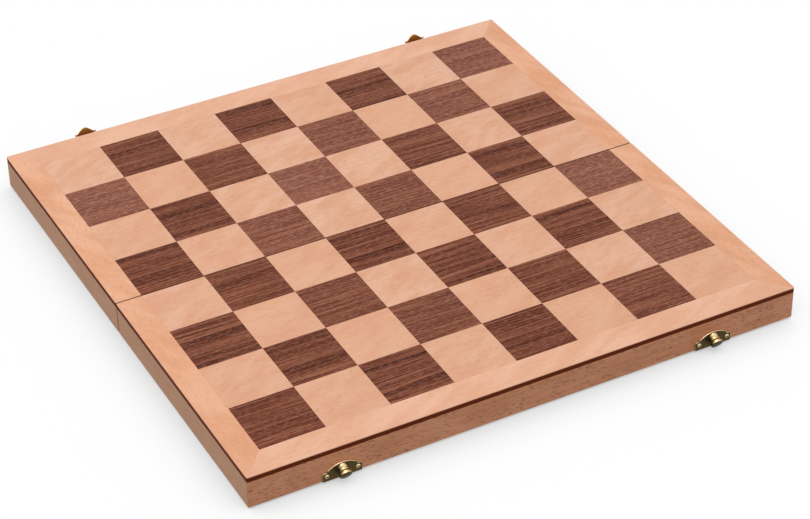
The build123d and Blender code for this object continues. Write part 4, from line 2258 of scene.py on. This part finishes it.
@dataclass(frozen=True)
class Fasteners(Part):
    """The screws of one half: four in its hinge leaves and four in its latch plates."""

    half: Half
    screws: ScrewSet
    plate: HalfMoon = HalfMoon()
    hinge_spacing: float = 17.0
    latch_screw: WoodScrew = RaisedScrew()
    hinge_screw: WoodScrew = CountersunkScrew()

    def build(self) -> Pieces:
        """Set the screws.

        Returns:
            One piece for the hinge leaves and one for the latch plates.
        """
        down, outwards = Euler((pi, 0, 0)), Euler((-self.half.sign * pi / 2, 0, 0))
        sets = (
            ("hinge", self.hinge_screw, self._leaf_seats(), down, HINGE_SCREW_BRASS),
            ("latch", self.latch_screw, self._plate_seats(), outwards, LATCH_SCREW_BRASS),
        )
        body = self.half.body
        for seed, (kind, screw, seats, aim, finish) in enumerate(sets, self.half.first_seed):
            points = bpy.data.meshes.new("seats")
            points.from_pydata([tuple(seat) for seat in seats], [], [])
            pattern = screw.make()
            values = {"Screw": pattern, "Aim": tuple(aim), "Seed": seed, "Finish": finish.material()}
            mesh = self.screws.grow(points, values)
            bpy.data.objects.remove(pattern)
            yield publish(f"{body}_{kind}_screw_set", mesh, finish, body, f"{body}_{kind}_screws")

    def _spots(self, nodes: str, spacing: float) -> list[tuple[float, float]]:
        """The middle of each fitting of a kind, and each of its two screws' distance from it."""
        middles = (Room.of(f"{nodes}_{end.value}").centre.x for end in End)
        return [(middle, side * spacing) for middle in middles for side in (-0.5, 0.5)]

    def _leaf_seats(self) -> list[Vector]:
        """Seats in the hinge leaves.

        Returns:
            Where each screw's head sits.
        """
        body = self.half.body
        rim = Room.of(f"{body}_wall_seam").low.z
        inset = Room.of(f"{body}_hinge_screws").centre.y
        spots = self._spots("hinge_pin", self.hinge_spacing)
        return [Vector((x + aside, inset, rim)) for x, aside in spots]

    def _plate_seats(self) -> list[Vector]:
        """Seats in the latch plates.

        Returns:
            Where each screw's head sits.
        """
        plates = "knob_plate" if self.half is Half.BASE else "hasp_plate"
        height, face = self.plate.screw_height, self.plate.thickness
        return [
            wall_seat(self.half, x, height, face) @ Vector((aside, 0, 0))
            for x, aside in self._spots(plates, self.plate.screw_spacing)
        ]


# ---- Studio ----


@dataclass(frozen=True)
class Lamp:
    """A soft square lamp, aimed at the middle of the board."""

    name: str
    place: tuple[float, float, float]
    side: float
    power: float

    def hang(self) -> None:
        """Put the lamp in its place."""
        data = bpy.data.lights.new(self.name, "AREA")
        data.size, data.energy = self.side, self.power
        holder = bpy.data.objects.new(self.name, data)
        holder.location = self.place
        holder.rotation_euler = (-Vector(self.place)).to_track_quat("-Z", "Y").to_euler()
        bpy.context.scene.collection.objects.link(holder)


@dataclass(frozen=True)
class Studio:
    """A pale floor, soft lamps, an even sky and the viewpoint, in metres and degrees."""

    eye: tuple[float, float, float] = (-0.644416, -1.265780, 1.002425)
    azimuth: float = -27.530
    elevation: float = 35.446
    roll: float = -0.945
    lens: float = 112.17
    clip_end: float = 50.0
    floor_half: float = 3.0
    shadow_tone: Colour = srgb(96, 92, 90)
    shadow_depth: float = 0.6
    shadow_reach: float = 80.0
    sky: float = 0.5
    white: Colour = (1.0, 1.0, 1.0, 1.0)
    lamps: tuple[Lamp, ...] = (
        Lamp("overhead_lamp", (-0.35, 0.15, 1.9), 1.5, 20.5),
        Lamp("front_lamp", (0.4, -1.9, 1.3), 1.0, 2.5),
    )

    def build(self) -> None:
        """Make the camera, the floor, the sky and the lamps."""
        self._camera()
        self._floor()
        self._sky()
        for lamp in self.lamps:
            lamp.hang()
        bpy.context.scene.view_settings.view_transform = "Standard"

    def _camera(self) -> None:
        """Stand at the eye and look along the azimuth and elevation, with the roll."""
        turn, rise, tilt = radians(self.azimuth), radians(self.elevation), radians(self.roll)
        back = Vector((sin(turn) * cos(rise), -cos(turn) * cos(rise), sin(rise)))
        right = Vector((cos(turn), sin(turn), 0))
        level = right * cos(tilt) + back.cross(right) * sin(tilt)
        looking = Matrix((level, back.cross(level), back)).transposed().to_4x4()
        data = bpy.data.cameras.new("viewpoint")
        data.lens, data.clip_end = self.lens, self.clip_end
        camera = bpy.data.objects.new("viewpoint", data)
        camera.matrix_world = Matrix.Translation(self.eye) @ looking
        bpy.context.scene.collection.objects.link(camera)
        bpy.context.scene.camera = camera

    def _floor(self) -> None:
        """Lay a floor as white as the sky, which shows only the soft shadow of what stands on it.

        Where a part hangs below the floor, as the closed lid does, the floor stays clear.
        """
        reach = self.floor_half
        mesh = bpy.data.meshes.new("floor")
        corners = [(-reach, -reach, 0), (reach, -reach, 0), (reach, reach, 0), (-reach, reach, 0)]
        mesh.from_pydata(corners, [], [(0, 1, 2, 3)])
        mesh.materials.append(self._veil())
        floor = bpy.data.objects.new("floor", mesh)
        for rays in ("diffuse", "glossy", "transmission", "shadow"):
            setattr(floor, f"visible_{rays}", False)
        bpy.context.scene.collection.objects.link(floor)
        floor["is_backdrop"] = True

    def _veil(self) -> Material:
        """The floor's shadow: dark under what stands close above it, and clear elsewhere.

        Returns:
            The material.
        """
        graph = ShaderGraph("pale_floor")
        above, below = (
            graph.openness(self.shadow_reach, inwards, alone=False) for inwards in (False, True)
        )
        shadow = (below - above).step(0.0, 1.0) * self.shadow_depth
        clear = graph.node("ShaderNodeBsdfTransparent")
        dark = graph.node("ShaderNodeEmission", sockets={"Color": self.shadow_tone})
        veil = graph.node("ShaderNodeMixShader", sockets={0: shadow, 1: clear, 2: dark})
        graph.node("ShaderNodeOutputMaterial", sockets={"Surface": veil})
        return graph.material

    def _sky(self) -> None:
        """Light evenly from all round, and show white to the camera, metal and glass."""
        world = bpy.data.worlds.new("studio")
        world.use_nodes = True
        graph = Graph(world.node_tree)
        path = graph.node("ShaderNodeLightPath", output="Is Camera Ray")
        seen = path.largest(path.out("Is Glossy Ray")).largest(path.out("Is Transmission Ray"))
        strength = seen * (1 - self.sky) + self.sky
        light = graph.node("ShaderNodeBackground", sockets={"Color": self.white, "Strength": strength})
        graph.node("ShaderNodeOutputWorld", sockets={"Surface": light})
        bpy.context.scene.world = world


def box_parts() -> Iterator[Part]:
    """The sub-assemblies of the chess box, in the order in which they are built.

    Returns:
        The sub-assemblies.
    """
    field, screws = SquareField(), ScrewSet()
    for half in Half:
        plan = HalfPlan(half)
        yield from (Tray(plan), PlayingSurface(plan, field), FeltLining(half), Fasteners(half, screws))
    for end in End:
        yield from (SeamHinge(end), KnobLatch(end), HaspLatch(end))


def main() -> None:
    """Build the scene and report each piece."""
    logging.basicConfig(level=logging.INFO, format="%(name)s %(message)s")
    Studio().build()
    for part in box_parts():
        for piece in part.build():
            log.info("%s: %s with %d faces", type(part).__name__, piece.name, len(piece.data.polygons))
    sizes = {"cad": cad_box, "visual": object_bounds()}
    {name: [list(corner) for corner in box] for name, box in sizes.items()}


if __name__ == "__main__":
    main()
